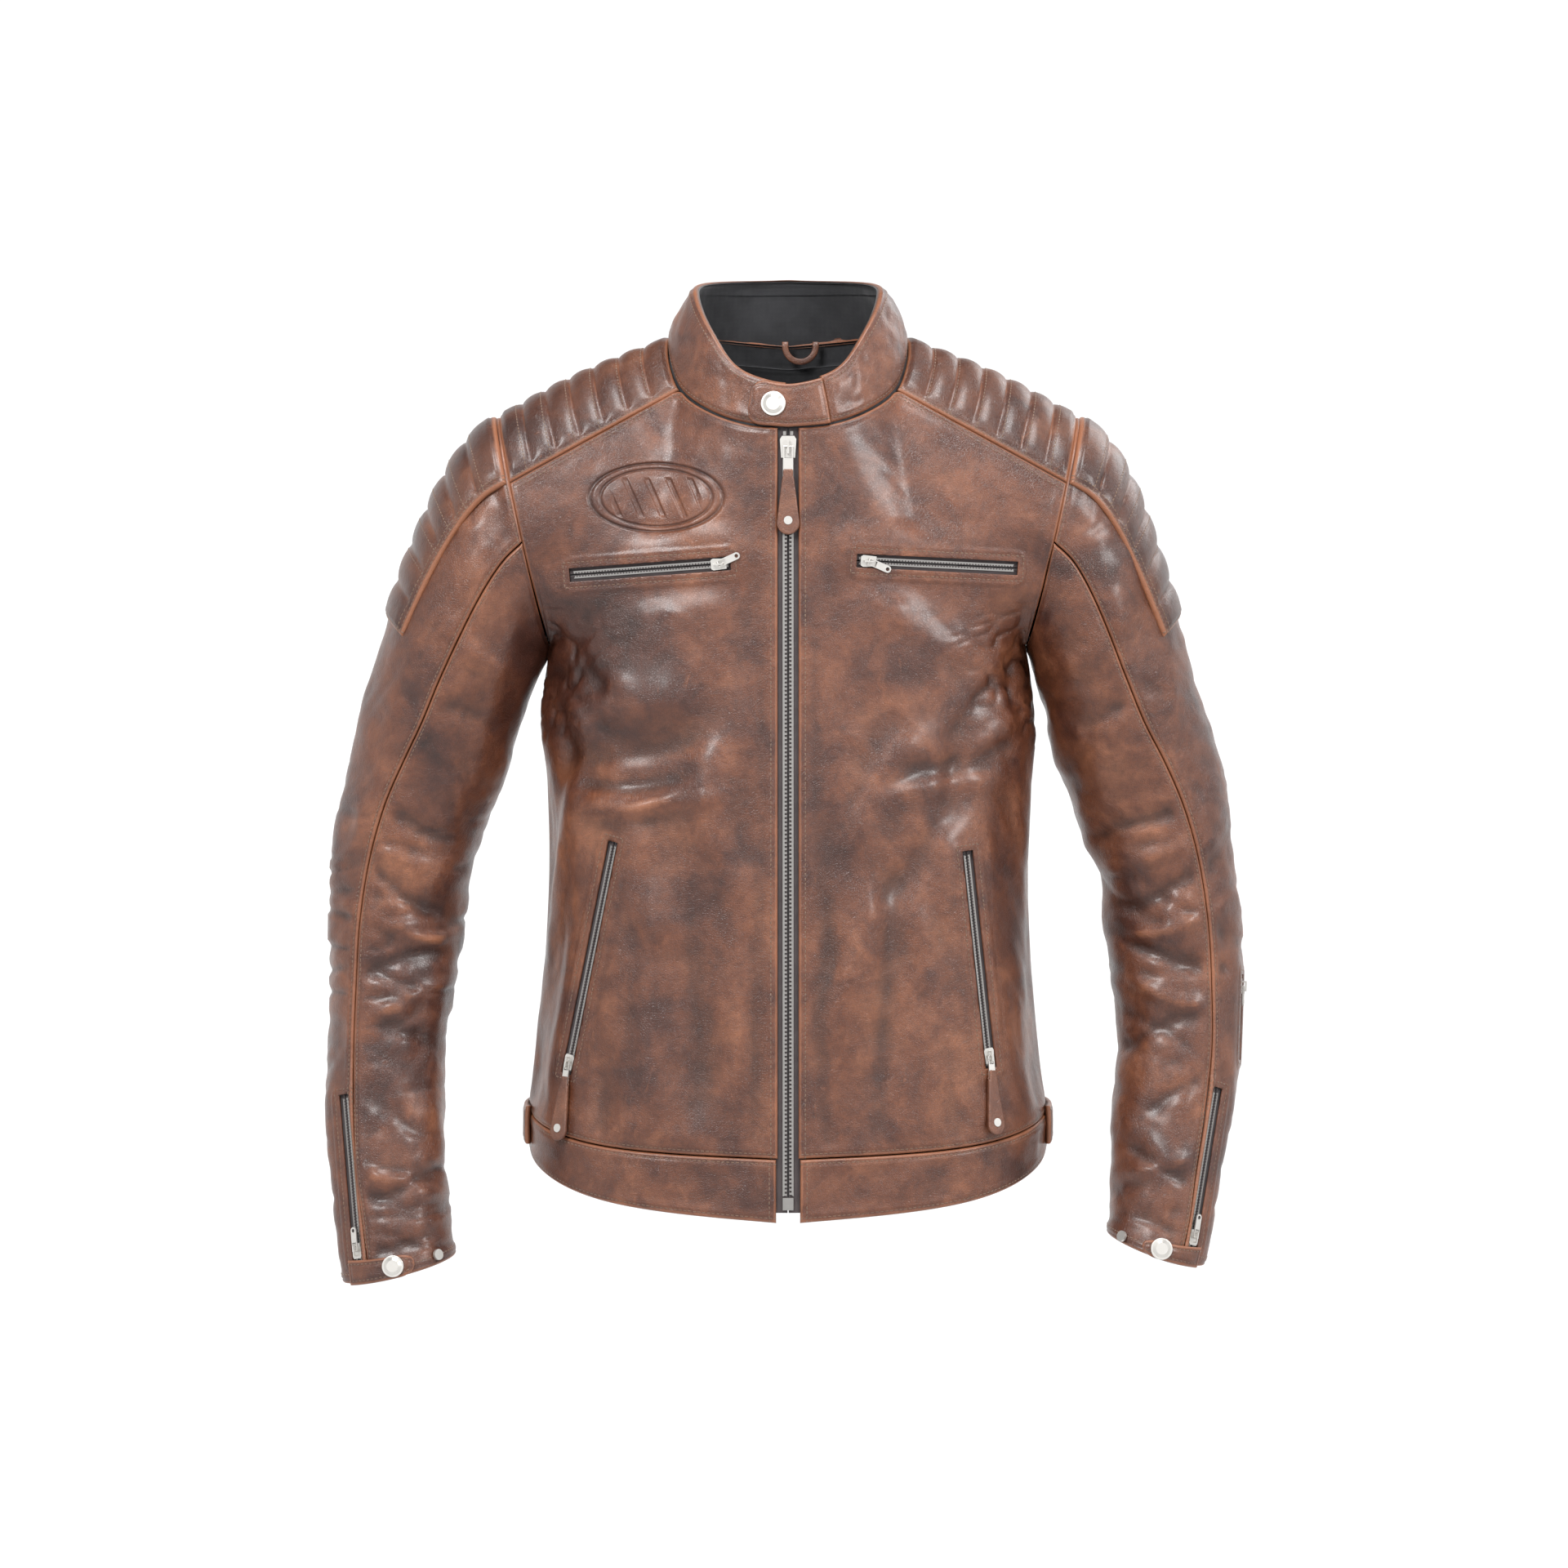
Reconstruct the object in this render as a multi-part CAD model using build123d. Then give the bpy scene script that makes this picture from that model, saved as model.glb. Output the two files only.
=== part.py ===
from build123d import *
from math import asin, cos, degrees, pi, radians, sin, sqrt
import os

# Leather riding jacket, millimetres, +Z up.  The front faces -Y and the wearer's left is +X.
# The origin is the centre of the neck, level with the high point of the shoulders.

os.makedirs("parts", exist_ok=True)

# ---------------------------------------------------------------- driving dimensions
LEATHER = 1.4             # outer leather
QUILT = 4.0               # leather, wadding and backing of a quilted panel
LINING = 0.8              # lining cloth
SEAM = 0.7                # half of the space kept between two panels at a seam
LINING_INSET = 10.0       # lining behind the leather of the body
SLEEVE_LINING_INSET = 9.0

FRONT_TOP_Z = -69.0       # top of the front opening, at the neck seam
FRONT_TOP_Y = -75.0
FRONT_LEAN = 0.0864       # the opening leans forward going down
FRONT_GAP = 8.5           # centre line to the folded leather edge beside the zip
SQUARENESS = 0.035        # how far a body ring is squarer than an ellipse

ARMPIT_Z = -231.0
ARMHOLE_X = 197.0
ARMHOLE_TILT = 19.0
ARMHOLE_Y = 5.0
ARMHOLE_DEPTH = 68.0
ARMHOLE_Z = -145.5
ARMHOLE_HEIGHT = 85.5
YOKE_ANGLE = 65.0         # armhole angle at which the shoulder yoke meets front and back
NECK_FRONT_ANGLE = 64.0   # neck angles at which the yoke meets front and back
NECK_BACK_ANGLE = 122.0

# Body rings: height, half width, side seam y, back y
BODY = [
    (-660, 194, 0, 105), (-610, 195, 0, 103), (-580, 195, 0, 101), (-546, 190, 2, 97),
    (-474, 183, 4, 92), (-402, 180, 6, 92), (-330, 181, 8, 100), (-294, 185, 8, 106),
    (-262, 183, 7, 110), (-231, 178, 5, 113)]
# Edges that run round the body: angle from the front centre, height
HEM = [(0, -648), (38, -636), (72, -618), (90, -610), (135, -620), (180, -630)]
BAND_TOP = [(0, -601), (38, -595), (72, -584), (90, -579), (135, -584), (180, -588)]
# Neck seam and collar top: angle from the front centre, height
NECK_SEAM = [(0, -69), (20, -66), (40, -57), (64, -40), (80, -19), (95, -3), (122, 0), (180, -6)]
COLLAR_TOP = [(0, -39), (33, -24), (56, 4), (75, 24), (90, 35), (120, 42), (180, 45)]

# Sleeve rings, wearer's right then left: outer x, outer z, inner x, inner z, middle y, half depth
SLEEVE_DEPTHS = [
    (5, 68), (5, 69), (5, 69), (6, 68), (8, 66), (10, 63), (12, 60), (13, 57),
    (13, 54), (10, 52), (4, 49), (-5, 46), (-16, 45), (-27, 44), (-37, 43), (-46, 42)]
SLEEVE_EDGES = {
    -1: [(216, -60, 178, -231), (240, -82, 183, -245), (262, -118, 190, -262),
         (284, -168, 197, -280), (301, -216, 204, -300), (314, -258, 210, -325),
         (325, -296, 219, -348), (335, -335, 230, -375), (343, -380, 239, -410),
         (348, -430, 245, -448), (348, -480, 252, -488), (348, -530, 257, -532),
         (347, -580, 257, -578), (344, -620, 257, -616), (338, -660, 252, -652),
         (332, -704, 248, -684)],
    1: [(216, -60, 178, -231), (240, -82, 183, -245), (260, -118, 188, -262),
        (278, -168, 194, -280), (294, -216, 197, -300), (306, -258, 204, -325),
        (319, -296, 213, -348), (330, -335, 222, -375), (336, -380, 236, -410),
        (342, -430, 239, -448), (343, -480, 243, -488), (341, -530, 247, -532),
        (334, -580, 243, -578), (325, -620, 243, -612), (319, -655, 240, -645),
        (309, -691, 238, -668)]}
SLEEVE_END = len(SLEEVE_DEPTHS) - 1
# Front sleeve seam: ring number, angle round the sleeve from its outer line
SLEEVE_SEAM = [(0, 95), (3, 88), (5, 80), (8, 66), (10, 62), (15, 62)]
SLEEVE_BACK_SEAM = -80.0
SLEEVE_QUILT_END = 3.9
SLEEVE_QUILT_ANGLES = (62.0, 44.0)
QUILT_LIFT = 2.0

# Zips: half width of the leather opening, half width of the teeth, tooth pitch, tooth height,
# depth of the middle of the teeth under the leather surface, and size of the slider
MAIN_ZIP = dict(opening=FRONT_GAP, teeth=4.0, pitch=3.0, height=2.4, sink=2.6, size=1.0)
SMALL_ZIP = dict(opening=5.0, teeth=2.7, pitch=2.2, height=1.8, sink=2.4, size=0.72)
TAPE = 0.7
TAPE_LAP = 5.0            # tape hidden behind each leather edge
WEB_SPACE = 0.9           # clear channel between the two rows of teeth
SLIDER_CLEAR = 0.35

# Zip lines on the body: side, (x, z) where the slider rests closed, (x, z) at the other end
CHEST_ZIPS = {-1: ((-44, -168), (-159, -177)), 1: ((52, -166), (167, -172))}
HAND_ZIPS = {-1: ((-163.5, -543), (-129, -374)), 1: ((149, -537), (132, -381))}
# Zip lines on the sleeves: (ring, angle) closed end, (ring, angle) other end
CUFF_ZIPS = {-1: ((14.6, 51), (11.7, 51)), 1: ((14.6, 51), (11.6, 51))}
POCKET_ZIP = ((10.0, 14), (11.2, 10))

NECK_SHARE = 0.36         # share of a front panel's top edge that lies on the neck seam
BACK_SHARE = 0.29         # share of the back's top edge on each yoke seam

# Leather follows a zip's flat strip out to this distance
FLAT_REACH = 34.0
# How closely a smooth surface is fitted to its points
FLAT_FIT = 0.4
LINING_FIT = 0.3
COLLAR_FIT = 0.2

# Zip sliders and pulls.  A flipped slider's pull lies towards the far end of its zip
FLIPPED = ("main", "chest_left", "cuff_right", "cuff_left", "sleeve_pocket")
# Turn of each pull in the plane of its zip, so that it hangs as its weight would have it
PULL_TURNS = {"chest_right": 20, "chest_left": -20, "hand_right": 10, "hand_left": -6}
PULL_TILTS = {"hand_right": 6, "hand_left": 6}
PLATE = 1.2               # slider plate
PIN_LIFT = 1.5            # pull pin over the slider plate
PIN_RADIUS = 0.6
RIVET_RADIUS = 1.9

# Collar: neck angles of its two ends, either side of the front line, and its front tab
COLLAR_RIGHT_END = -1.5
COLLAR_LEFT_END = 20.0
TAB_LIFT = 2.2
TAB_THICK = 2.2
COLLAR_SNAP_ANGLE = -7.5

# Straps, with their snaps
STRAP_LIFT = 2.4          # space under a strap, filled by its snap stud
STRAP_THICK = 2.0
CUFF_TAB = dict(start=44.0, end=108.0, ring_low=14.97, ring_high=14.62)
CUFF_SNAP = dict(angle=90.0, spare_angle=136.0, ring=14.79)
WAIST_STRAP = dict(start=80.0, end=122.0, low=-602.0, high=-577.0)
WAIST_SNAP = dict(angle=114.0, z=-589.5)
SNAP_CAP = 9.0            # radius of a snap's cap
CUFF_CAP = 8.0
CAP_HEIGHT = 3.0
CAP_SPACE = 0.4
STUD_RADIUS = 4.0
STUD_FOOT = 0.7           # clear of the leather's own curve
CUFF_STUD_FOOT = 1.5
STUD_SPACE = 0.4          # space between a stud and its strap
SPARE_STUD = 2.0


# ---------------------------------------------------------------- small helpers
def add(a, b):
    return tuple(p + q for p, q in zip(a, b))


def scale(a, k):
    return tuple(p * k for p in a)


def mix(a, b, t):
    return tuple(p + (q - p) * t for p, q in zip(a, b))


def read(table, key):
    """Values of a table at a key, by a smooth curve through its rows."""
    if key <= table[0][0]:
        return table[0][1:]
    if key >= table[-1][0]:
        return table[-1][1:]
    i = max(k for k in range(len(table) - 1) if table[k][0] <= key)

    def slope(k):
        low = table[max(k - 1, 0)]
        high = table[min(k + 1, len(table) - 1)]
        return [(q - p) / (high[0] - low[0]) for p, q in zip(low[1:], high[1:])]

    span = table[i + 1][0] - table[i][0]
    t = (key - table[i][0]) / span
    values = zip(table[i][1:], table[i + 1][1:], slope(i), slope(i + 1))
    return tuple(
        p * (1 + 2 * t) * (1 - t) ** 2 + q * t * t * (3 - 2 * t)
        + span * (m * t * (1 - t) ** 2 - n * t * t * (1 - t))
        for p, q, m, n in values)


def steps(start, end, count):
    return [start + (end - start) * i / count for i in range(count + 1)]


def vector(a, b):
    return Vector(*b) - Vector(*a)


# ---------------------------------------------------------------- surfaces
def front_line(z):
    """Depth of the front opening at a height."""
    return FRONT_TOP_Y + (z - FRONT_TOP_Z) * FRONT_LEAN


def body_point(angle, z):
    """Point of the body ring at a height; angle is 0 at the front centre and 90 at the +X side."""
    half, side_y, back_y = read(BODY, z)
    a = radians(angle)
    depth = side_y - front_line(z) if cos(a) > 0 else back_y - side_y
    across = (sin(a) + SQUARENESS * sin(3 * a)) / (1 - SQUARENESS)
    along = (cos(a) - SQUARENESS * cos(3 * a)) / (1 - SQUARENESS)
    return (half * across, side_y - depth * along, z)


def neck_point(angle):
    """Point of the neck seam; angle is 0 at the front centre."""
    a = radians(angle)
    return (90 * sin(a), -75 * cos(a), read(NECK_SEAM, abs(angle))[0])


def collar_point(angle, v):
    """Point of the collar, from the neck seam at v = 0 to its top edge at v = 1."""
    a = radians(angle)
    low = neck_point(angle)
    top = (70 * sin(a), -4.5 - 66.5 * cos(a), read(COLLAR_TOP, abs(angle))[0])
    bulge = 3.0 * sin(pi * v) * abs(sin(a))
    return add(mix(low, top, v), (bulge * sin(a), -bulge * cos(a) * 0.5, 0))


def armhole_point(side, angle):
    """Point of the armhole; angle is 0 at the top, 90 at the front and 180 at the bottom."""
    a = radians(angle)
    return (side * (ARMHOLE_X + ARMHOLE_TILT * cos(a)),
            ARMHOLE_Y - ARMHOLE_DEPTH * sin(a),
            ARMHOLE_Z + ARMHOLE_HEIGHT * cos(a))


def front_angle(u, z):
    """Angle at a fraction of the way from the folded front edge to the side seam."""
    half = read(BODY, z)[0]
    start = degrees(FRONT_GAP * (1 - SQUARENESS) / (half * (1 + 3 * SQUARENESS)))
    return start + (90 - start) * u


def coons(bottom, top, left, right, u, v):
    """Point inside four boundary curves."""
    corners = mix(mix(bottom(0), bottom(1), u), mix(top(0), top(1), u), v)
    edges = add(mix(bottom(u), top(u), v), mix(left(v), right(v), u))
    return tuple(p - q for p, q in zip(edges, corners))


def front_top(side, u):
    """Top edge of a front panel: neck seam, then yoke seam."""
    start = degrees(asin(FRONT_GAP / 90))
    if u < NECK_SHARE:
        return neck_point(side * (start + (NECK_FRONT_ANGLE - start) * u / NECK_SHARE))
    corner = neck_point(side * NECK_FRONT_ANGLE)
    end = armhole_point(side, YOKE_ANGLE)
    return mix(corner, end, (u - NECK_SHARE) / (1 - NECK_SHARE))


def front_point(side, u, v):
    """Front panel: v runs from the hem band (0) to the armpit (1) and on to the yoke (2)."""
    if v <= 1:
        angle = front_angle(u, ARMPIT_Z)
        low = read(BAND_TOP, angle)[0]
        z = low + (ARMPIT_Z - low) * v
        return body_point(side * front_angle(u, z), z)
    s = v - 1

    def bottom(w):
        return body_point(side * front_angle(w, ARMPIT_Z), ARMPIT_Z)

    def left(w):
        z = ARMPIT_Z + (FRONT_TOP_Z - ARMPIT_Z) * w
        return (side * FRONT_GAP, front_line(z), z)

    def right(w):
        return armhole_point(side, 180 + (YOKE_ANGLE - 180) * w)

    return coons(bottom, lambda w: front_top(side, w), left, right, u, s)


def back_top(u):
    if u < BACK_SHARE:
        return mix(armhole_point(-1, -YOKE_ANGLE), neck_point(-NECK_BACK_ANGLE), u / BACK_SHARE)
    if u > 1 - BACK_SHARE:
        return mix(armhole_point(1, -YOKE_ANGLE), neck_point(NECK_BACK_ANGLE), (1 - u) / BACK_SHARE)
    share = (u - BACK_SHARE) / (1 - 2 * BACK_SHARE)
    turn = 180 - NECK_BACK_ANGLE
    angle = -NECK_BACK_ANGLE - 2 * turn * share
    return neck_point(angle if angle > -180 else angle + 360)


def back_point(u, v):
    """Back panel: u runs from the right side seam to the left, v as on the front panels."""
    turned = 90 + 180 * u

    def ring(w, z):
        angle = -(90 + 180 * w)
        return body_point(angle if angle > -180 else angle + 360, z)

    if v <= 1:
        low = read(BAND_TOP, turned if turned <= 180 else 360 - turned)[0]
        return ring(u, low + (ARMPIT_Z - low) * v)
    return coons(lambda w: ring(w, ARMPIT_Z), back_top,
                 lambda w: armhole_point(-1, 180 + (180 - YOKE_ANGLE) * w),
                 lambda w: armhole_point(1, 180 + (180 - YOKE_ANGLE) * w), u, v - 1)


def yoke_point(side, u, v):
    """Shoulder yoke: u from the front seam to the back seam, v from neck to armhole."""
    inner = neck_point(side * (NECK_FRONT_ANGLE + (NECK_BACK_ANGLE - NECK_FRONT_ANGLE) * u))
    outer = armhole_point(side, YOKE_ANGLE * (1 - 2 * u))
    crown = 5.0 * sin(pi * v) * sin(pi * u)
    return add(mix(inner, outer, v), (0, 0, crown))


def sleeve_frame(side, ring):
    """Centre, half width vector and half depth of a sleeve ring."""
    table = [(i,) + edge + depth for i, (edge, depth)
             in enumerate(zip(SLEEVE_EDGES[side], SLEEVE_DEPTHS))]
    outer_x, outer_z, inner_x, inner_z, middle_y, depth = read(table, ring)
    centre = (side * (outer_x + inner_x) / 2, middle_y, (outer_z + inner_z) / 2)
    reach = (side * (outer_x - inner_x) / 2, 0, (outer_z - inner_z) / 2)
    return centre, reach, depth


def sleeve_point(side, ring, angle, inset=0.0):
    """Sleeve surface; angle is 0 on the outer line, 90 at the front and 180 underneath."""
    centre, reach, depth = sleeve_frame(side, ring)
    a = radians(angle)
    size = sqrt(reach[0] ** 2 + reach[2] ** 2)
    reach = scale(reach, (size - inset) / size * cos(a))
    return add(centre, add(reach, (0, -(depth - inset) * sin(a), 0)))


# ---------------------------------------------------------------- zips as straight local frames
def zip_frame(closed, far, normal):
    """Plane at the closed end: y runs towards the far end, z points out of the jacket."""
    run = vector(closed, far)
    y_dir = run.normalized()
    x_dir = y_dir.cross(Vector(*normal)).normalized()
    plane = Plane(origin=Vector(*closed), x_dir=x_dir, z_dir=x_dir.cross(y_dir))
    return plane, run.length


def find_front(side, x, z):
    """Front panel surface point and outward normal at an x and a height."""
    u, v = 0.5, 1.0
    for _ in range(40):
        here = front_point(side, u, v)
        du = front_point(side, u + 0.01, v)
        dv = front_point(side, u, v + 0.01)
        a, b = (du[0] - here[0]) * 100, (dv[0] - here[0]) * 100
        c, d = (du[2] - here[2]) * 100, (dv[2] - here[2]) * 100
        det = a * d - b * c
        ex, ez = x - here[0], z - here[2]
        u = min(max(u + 0.7 * (d * ex - b * ez) / det, 0.0), 0.98)
        v = min(max(v + 0.7 * (a * ez - c * ex) / det, 0.0), 1.98)
    here = front_point(side, u, v)
    across = vector(here, front_point(side, u + 0.01, v))
    upward = vector(here, front_point(side, u, v + 0.01))
    normal = across.cross(upward).normalized()
    normal = normal if normal.Y < 0 else -normal
    return here, (normal.X, normal.Y, normal.Z)


def sleeve_normal(side, ring, angle):
    here = sleeve_point(side, ring, angle)
    round_it = vector(here, sleeve_point(side, ring, angle + 1))
    down = vector(here, sleeve_point(side, ring + 0.05, angle))
    normal = round_it.cross(down).normalized()
    outward = vector(sleeve_frame(side, ring)[0], here)
    normal = normal if normal.dot(outward) > 0 else -normal
    return (normal.X, normal.Y, normal.Z)


def front_zip(side, closed, far):
    start, first = find_front(side, *closed)
    end, last = find_front(side, *far)
    return zip_frame(start, end, mix(first, last, 0.5))


def sleeve_zip(side, closed, far):
    normal = mix(sleeve_normal(side, *closed), sleeve_normal(side, *far), 0.5)
    return zip_frame(sleeve_point(side, *closed), sleeve_point(side, *far), normal)


ZIPS = {}
front_foot = (0.0, front_line(-628.0), -628.0)
front_head = (0.0, front_line(-75.0), -75.0)
ZIPS["main"] = zip_frame(front_head, front_foot, (0, -1, 0)) + (MAIN_ZIP,)
for side, name in ((-1, "right"), (1, "left")):
    ZIPS["chest_" + name] = front_zip(side, *CHEST_ZIPS[side]) + (SMALL_ZIP,)
    ZIPS["hand_" + name] = front_zip(side, *HAND_ZIPS[side]) + (SMALL_ZIP,)
    ZIPS["cuff_" + name] = sleeve_zip(side, *CUFF_ZIPS[side]) + (SMALL_ZIP,)
ZIPS["sleeve_pocket"] = sleeve_zip(1, *POCKET_ZIP) + (SMALL_ZIP,)

def flatten(point, names):
    """Move a surface point towards the plane of any zip that is close to it."""
    for name in names:
        plane, length, _ = ZIPS[name]
        local = plane.to_local_coords(Vector(*point))
        beyond = max(0.0, -local.Y, local.Y - length)
        away = sqrt(local.X ** 2 + beyond ** 2)
        if away < FLAT_REACH and abs(local.Z) < FLAT_REACH:
            inside = max(0.0, away - 6.0) / (FLAT_REACH - 6.0)
            weight = 1 - inside * inside * (3 - 2 * inside)
            moved = plane.from_local_coords(Vector(local.X, local.Y, local.Z * (1 - weight)))
            point = (moved.X, moved.Y, moved.Z)
    return point


# ---------------------------------------------------------------- solids
def grid_normals(grid):
    """Unit normal at each point of a grid, from its neighbours."""
    rows, columns = len(grid), len(grid[0])
    normals = []
    for j in range(rows):
        line = []
        for i in range(columns):
            along = vector(grid[j][max(i - 1, 0)], grid[j][min(i + 1, columns - 1)])
            upward = vector(grid[max(j - 1, 0)][i], grid[min(j + 1, rows - 1)][i])
            line.append(along.cross(upward).normalized())
        normals.append(line)
    return normals


def smooth_face(grid, fit):
    return Face.make_surface_from_array_of_points(
        [[Vector(*p) for p in row] for row in grid], tol=fit)


def shell(point, us, vs, thickness, inward, fit=0.02):
    """Solid between a smooth surface through a grid of points and its copy moved inwards."""
    outer = [[point(u, v) for u in us] for v in vs]
    normals = grid_normals(outer)
    j, i = len(vs) // 2, len(us) // 2
    sign = 1 if normals[j][i].dot(vector(outer[j][i], inward)) > 0 else -1
    inner = [[add(p, tuple(n * (sign * thickness))) for p, n in zip(row, line)]
             for row, line in zip(outer, normals)]
    faces = [smooth_face(outer, fit), smooth_face(inner, fit)]
    for near, far in zip(faces[0].outer_wire().edges(), faces[1].outer_wire().edges()):
        faces.append(Face.make_surface_from_curves(near, far))
    return Solid(Shell(faces))


def on_zip(name):
    """Location of the middle of a zip's teeth at its closed end."""
    plane, _, kind = ZIPS[name]
    return plane.location * Pos(0, 0, -kind["sink"])


def slot(name, before=0.0, after=0.0):
    """Round-ended cutter for the leather opening of a zip."""
    plane, length, kind = ZIPS[name]
    half = kind["opening"]
    run = length + before + after - 2 * half
    profile = Rectangle(2 * half, run) + Pos(0, run / 2) * Circle(half) + Pos(0, -run / 2) * Circle(half)
    cutter = extrude(profile, 24, both=True)
    return plane.location * Pos(0, (length + after - before) / 2, 0) * cutter


def teeth_rows(name):
    """Two combs of teeth, one on each side of a narrow channel."""
    _, length, kind = ZIPS[name]
    pitch, half, height = kind["pitch"], kind["teeth"], kind["height"]
    count = int(length / pitch)
    rows = []
    for hand in (-1, 1):
        outline = [(hand * half, 0.0)]
        for i in range(count):
            low = (i + (0.1 if hand < 0 else 0.35)) * pitch
            high = low + 0.5 * pitch
            for x, y in ((half * 0.62, low), (WEB_SPACE, low), (WEB_SPACE, high), (half * 0.62, high)):
                outline.append((hand * x, y))
        outline.append((hand * half, count * pitch))
        comb = make_face(Polyline(*outline, close=True))
        rows.append(on_zip(name) * extrude(comb, height / 2, both=True))
    return rows


def tapes(name, before=6.0, after=6.0):
    """The two woven tapes that carry the teeth, running in behind the leather edges."""
    _, length, kind = ZIPS[name]
    inner, outer = kind["teeth"] + 0.1, kind["opening"] + TAPE_LAP
    strips = []
    for hand in (-1, 1):
        strip = Box(outer - inner, length + before + after, TAPE)
        centre = Pos(hand * (inner + outer) / 2, (length + after - before) / 2, 0)
        strips.append(on_zip(name) * centre * strip)
    return strips


def slider_rest(name):
    """Distance from the closed end of a zip to the middle of its slider."""
    return 8.0 if name == "main" else 7.0


def slider_location(name):
    flip = 180 if name in FLIPPED else 0
    return on_zip(name) * Pos(0, slider_rest(name), 0) * Rot(0, 0, flip)


def slider(name):
    """Zip slider: two plates joined by a thin web, with a bridge for its pull."""
    kind = ZIPS[name][2]
    size = kind["size"]
    inner = kind["height"] / 2 + SLIDER_CLEAR
    half, long = 6.0 * size, 16.0 * size
    outline = Polyline((-half, long * 0.35), (-half * 0.75, long / 2), (half * 0.75, long / 2),
                       (half, long * 0.35), (half * 0.85, -long / 2), (-half * 0.85, -long / 2),
                       close=True)
    face = make_face(outline)
    body = Pos(0, 0, inner) * extrude(face, PLATE)
    body += Pos(0, 0, -inner - PLATE) * extrude(face, PLATE)
    body += Pos(0, long * 0.3, 0) * Box(2 * (WEB_SPACE - SLIDER_CLEAR), long * 0.3, 2 * inner + 0.4)
    top = inner + PLATE
    bar = top + PIN_LIFT + PIN_RADIUS + 0.5
    reach = 4.6 * size
    for y in (-reach, reach):
        post = Box(1.4 * size, 1.4 * size, bar - top + 0.8, align=(Align.CENTER, Align.CENTER, Align.MIN))
        body += Pos(0, y, top - 0.2) * post
    bridge = Box(1.4 * size, 2 * reach + 1.4 * size, 1.2, align=(Align.CENTER, Align.CENTER, Align.MIN))
    body += Pos(0, 0, bar) * bridge
    return slider_location(name) * body


def pull_location(name):
    """Hinge frame of a pull: its pin lies on the local x axis and it hangs along -y."""
    kind = ZIPS[name][2]
    lift = kind["height"] / 2 + SLIDER_CLEAR + PLATE + PIN_LIFT
    turn = PULL_TURNS.get(name, 0)
    tilt = PULL_TILTS.get(name, 0)
    return slider_location(name) * Pos(0, 0, lift) * Rot(0, 0, turn) * Rot(-tilt, 0, 0)


def pull_plate(size, long, hole):
    """Metal pull hanging along -y from a round pin that lies on the local x axis."""
    half, leg = 3.6 * size, 0.95 * size
    window = 8.4 * size
    profile = Pos(0, -(long + window) / 2) * Rectangle(2 * half, long - window)
    profile += Pos(0, -long) * Circle(half)
    profile -= Pos(0, -long) * Circle(hole)
    plate = extrude(profile, 0.55, both=True)
    for hand in (-1, 1):
        plate += Pos(hand * (half - leg / 2), -window / 2 - 0.1, 0) * Box(leg, window + 0.4, 1.0)
    return plate + Rot(0, 90, 0) * Cylinder(PIN_RADIUS, 2 * half)


def leather_pull(metal_end, end, width, thick, rivet_y):
    """Teardrop leather pull: two leaves round the end of the metal one, joined below it."""
    neck = metal_end + 7.0
    body = Pos(0, end + width / 2) * Circle(width / 2)
    body += make_face(Polyline(
        (-width * 0.2, neck), (width * 0.2, neck), (width * 0.49, end + width * 0.62),
        (-width * 0.49, end + width * 0.62), close=True))
    tab = extrude(body, thick / 2, both=True)
    tab -= Pos(0, metal_end + 9.7, 0) * Box(width, 20, 1.4)
    tab -= Pos(0, rivet_y, 0) * Cylinder(RIVET_RADIUS + 0.1, 2 * thick)
    return tab


def rivet(rivet_y, thick):
    """Tubular rivet with a domed head on each face of a leather pull."""
    shank = Cylinder(RIVET_RADIUS, thick + 0.3)
    for hand in (-1, 1):
        shank += Pos(0, 0, hand * (thick / 2 + 0.1 + 0.4)) * Cylinder(RIVET_RADIUS + 1.2, 0.8)
    return Pos(0, rivet_y, 0) * shank


def dome(radius, height):
    """Snap cap with a rolled rim, standing on z = 0."""
    cap = Cylinder(radius, height * 0.4, align=(Align.CENTER, Align.CENTER, Align.MIN))
    cap += Pos(0, 0, height * 0.35) * Cone(radius * 0.86, radius * 0.55, height * 0.65,
                                           align=(Align.CENTER, Align.CENTER, Align.MIN))
    return fillet(cap.edges().filter_by(GeomType.CIRCLE).sort_by(Axis.Z)[1:2], height * 0.12)


def put(name, shape):
    export_step(shape, "parts/" + name + ".step")


def grouped(solids):
    return Compound(children=list(solids))


def zip_names(side, kinds):
    hand = "right" if side < 0 else "left"
    return [kind + "_" + hand for kind in kinds]


# ---------------------------------------------------------------- body panels
def edge_share(length):
    """Share of a panel's width that a seam allowance takes."""
    return SEAM / length


def front_panel(side):
    names = zip_names(side, ("chest", "hand"))
    panel = shell(lambda u, v: flatten(front_point(side, u, v), names),
                  steps(0.002, 1 - edge_share(190), 20),
                  steps(edge_share(370), 2 - edge_share(150), 32),
                  LEATHER, (0, 40, -300), fit=FLAT_FIT)
    for name in names:
        panel -= slot(name, before=3, after=3)
    return panel


def inset_point(point, depth, target):
    """The same surface moved a distance towards an inner line."""
    def moved(u, v):
        here = point(u, v)
        goal = target(here)
        gap = vector(here, goal)
        return add(here, scale((gap.X, gap.Y, gap.Z), depth / gap.length))
    return moved


def body_core(here):
    """Point on the body's own middle line that a lining point moves towards."""
    return (here[0] * 0.35, 10.0, min(here[2], -150.0) - 10.0)


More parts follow.
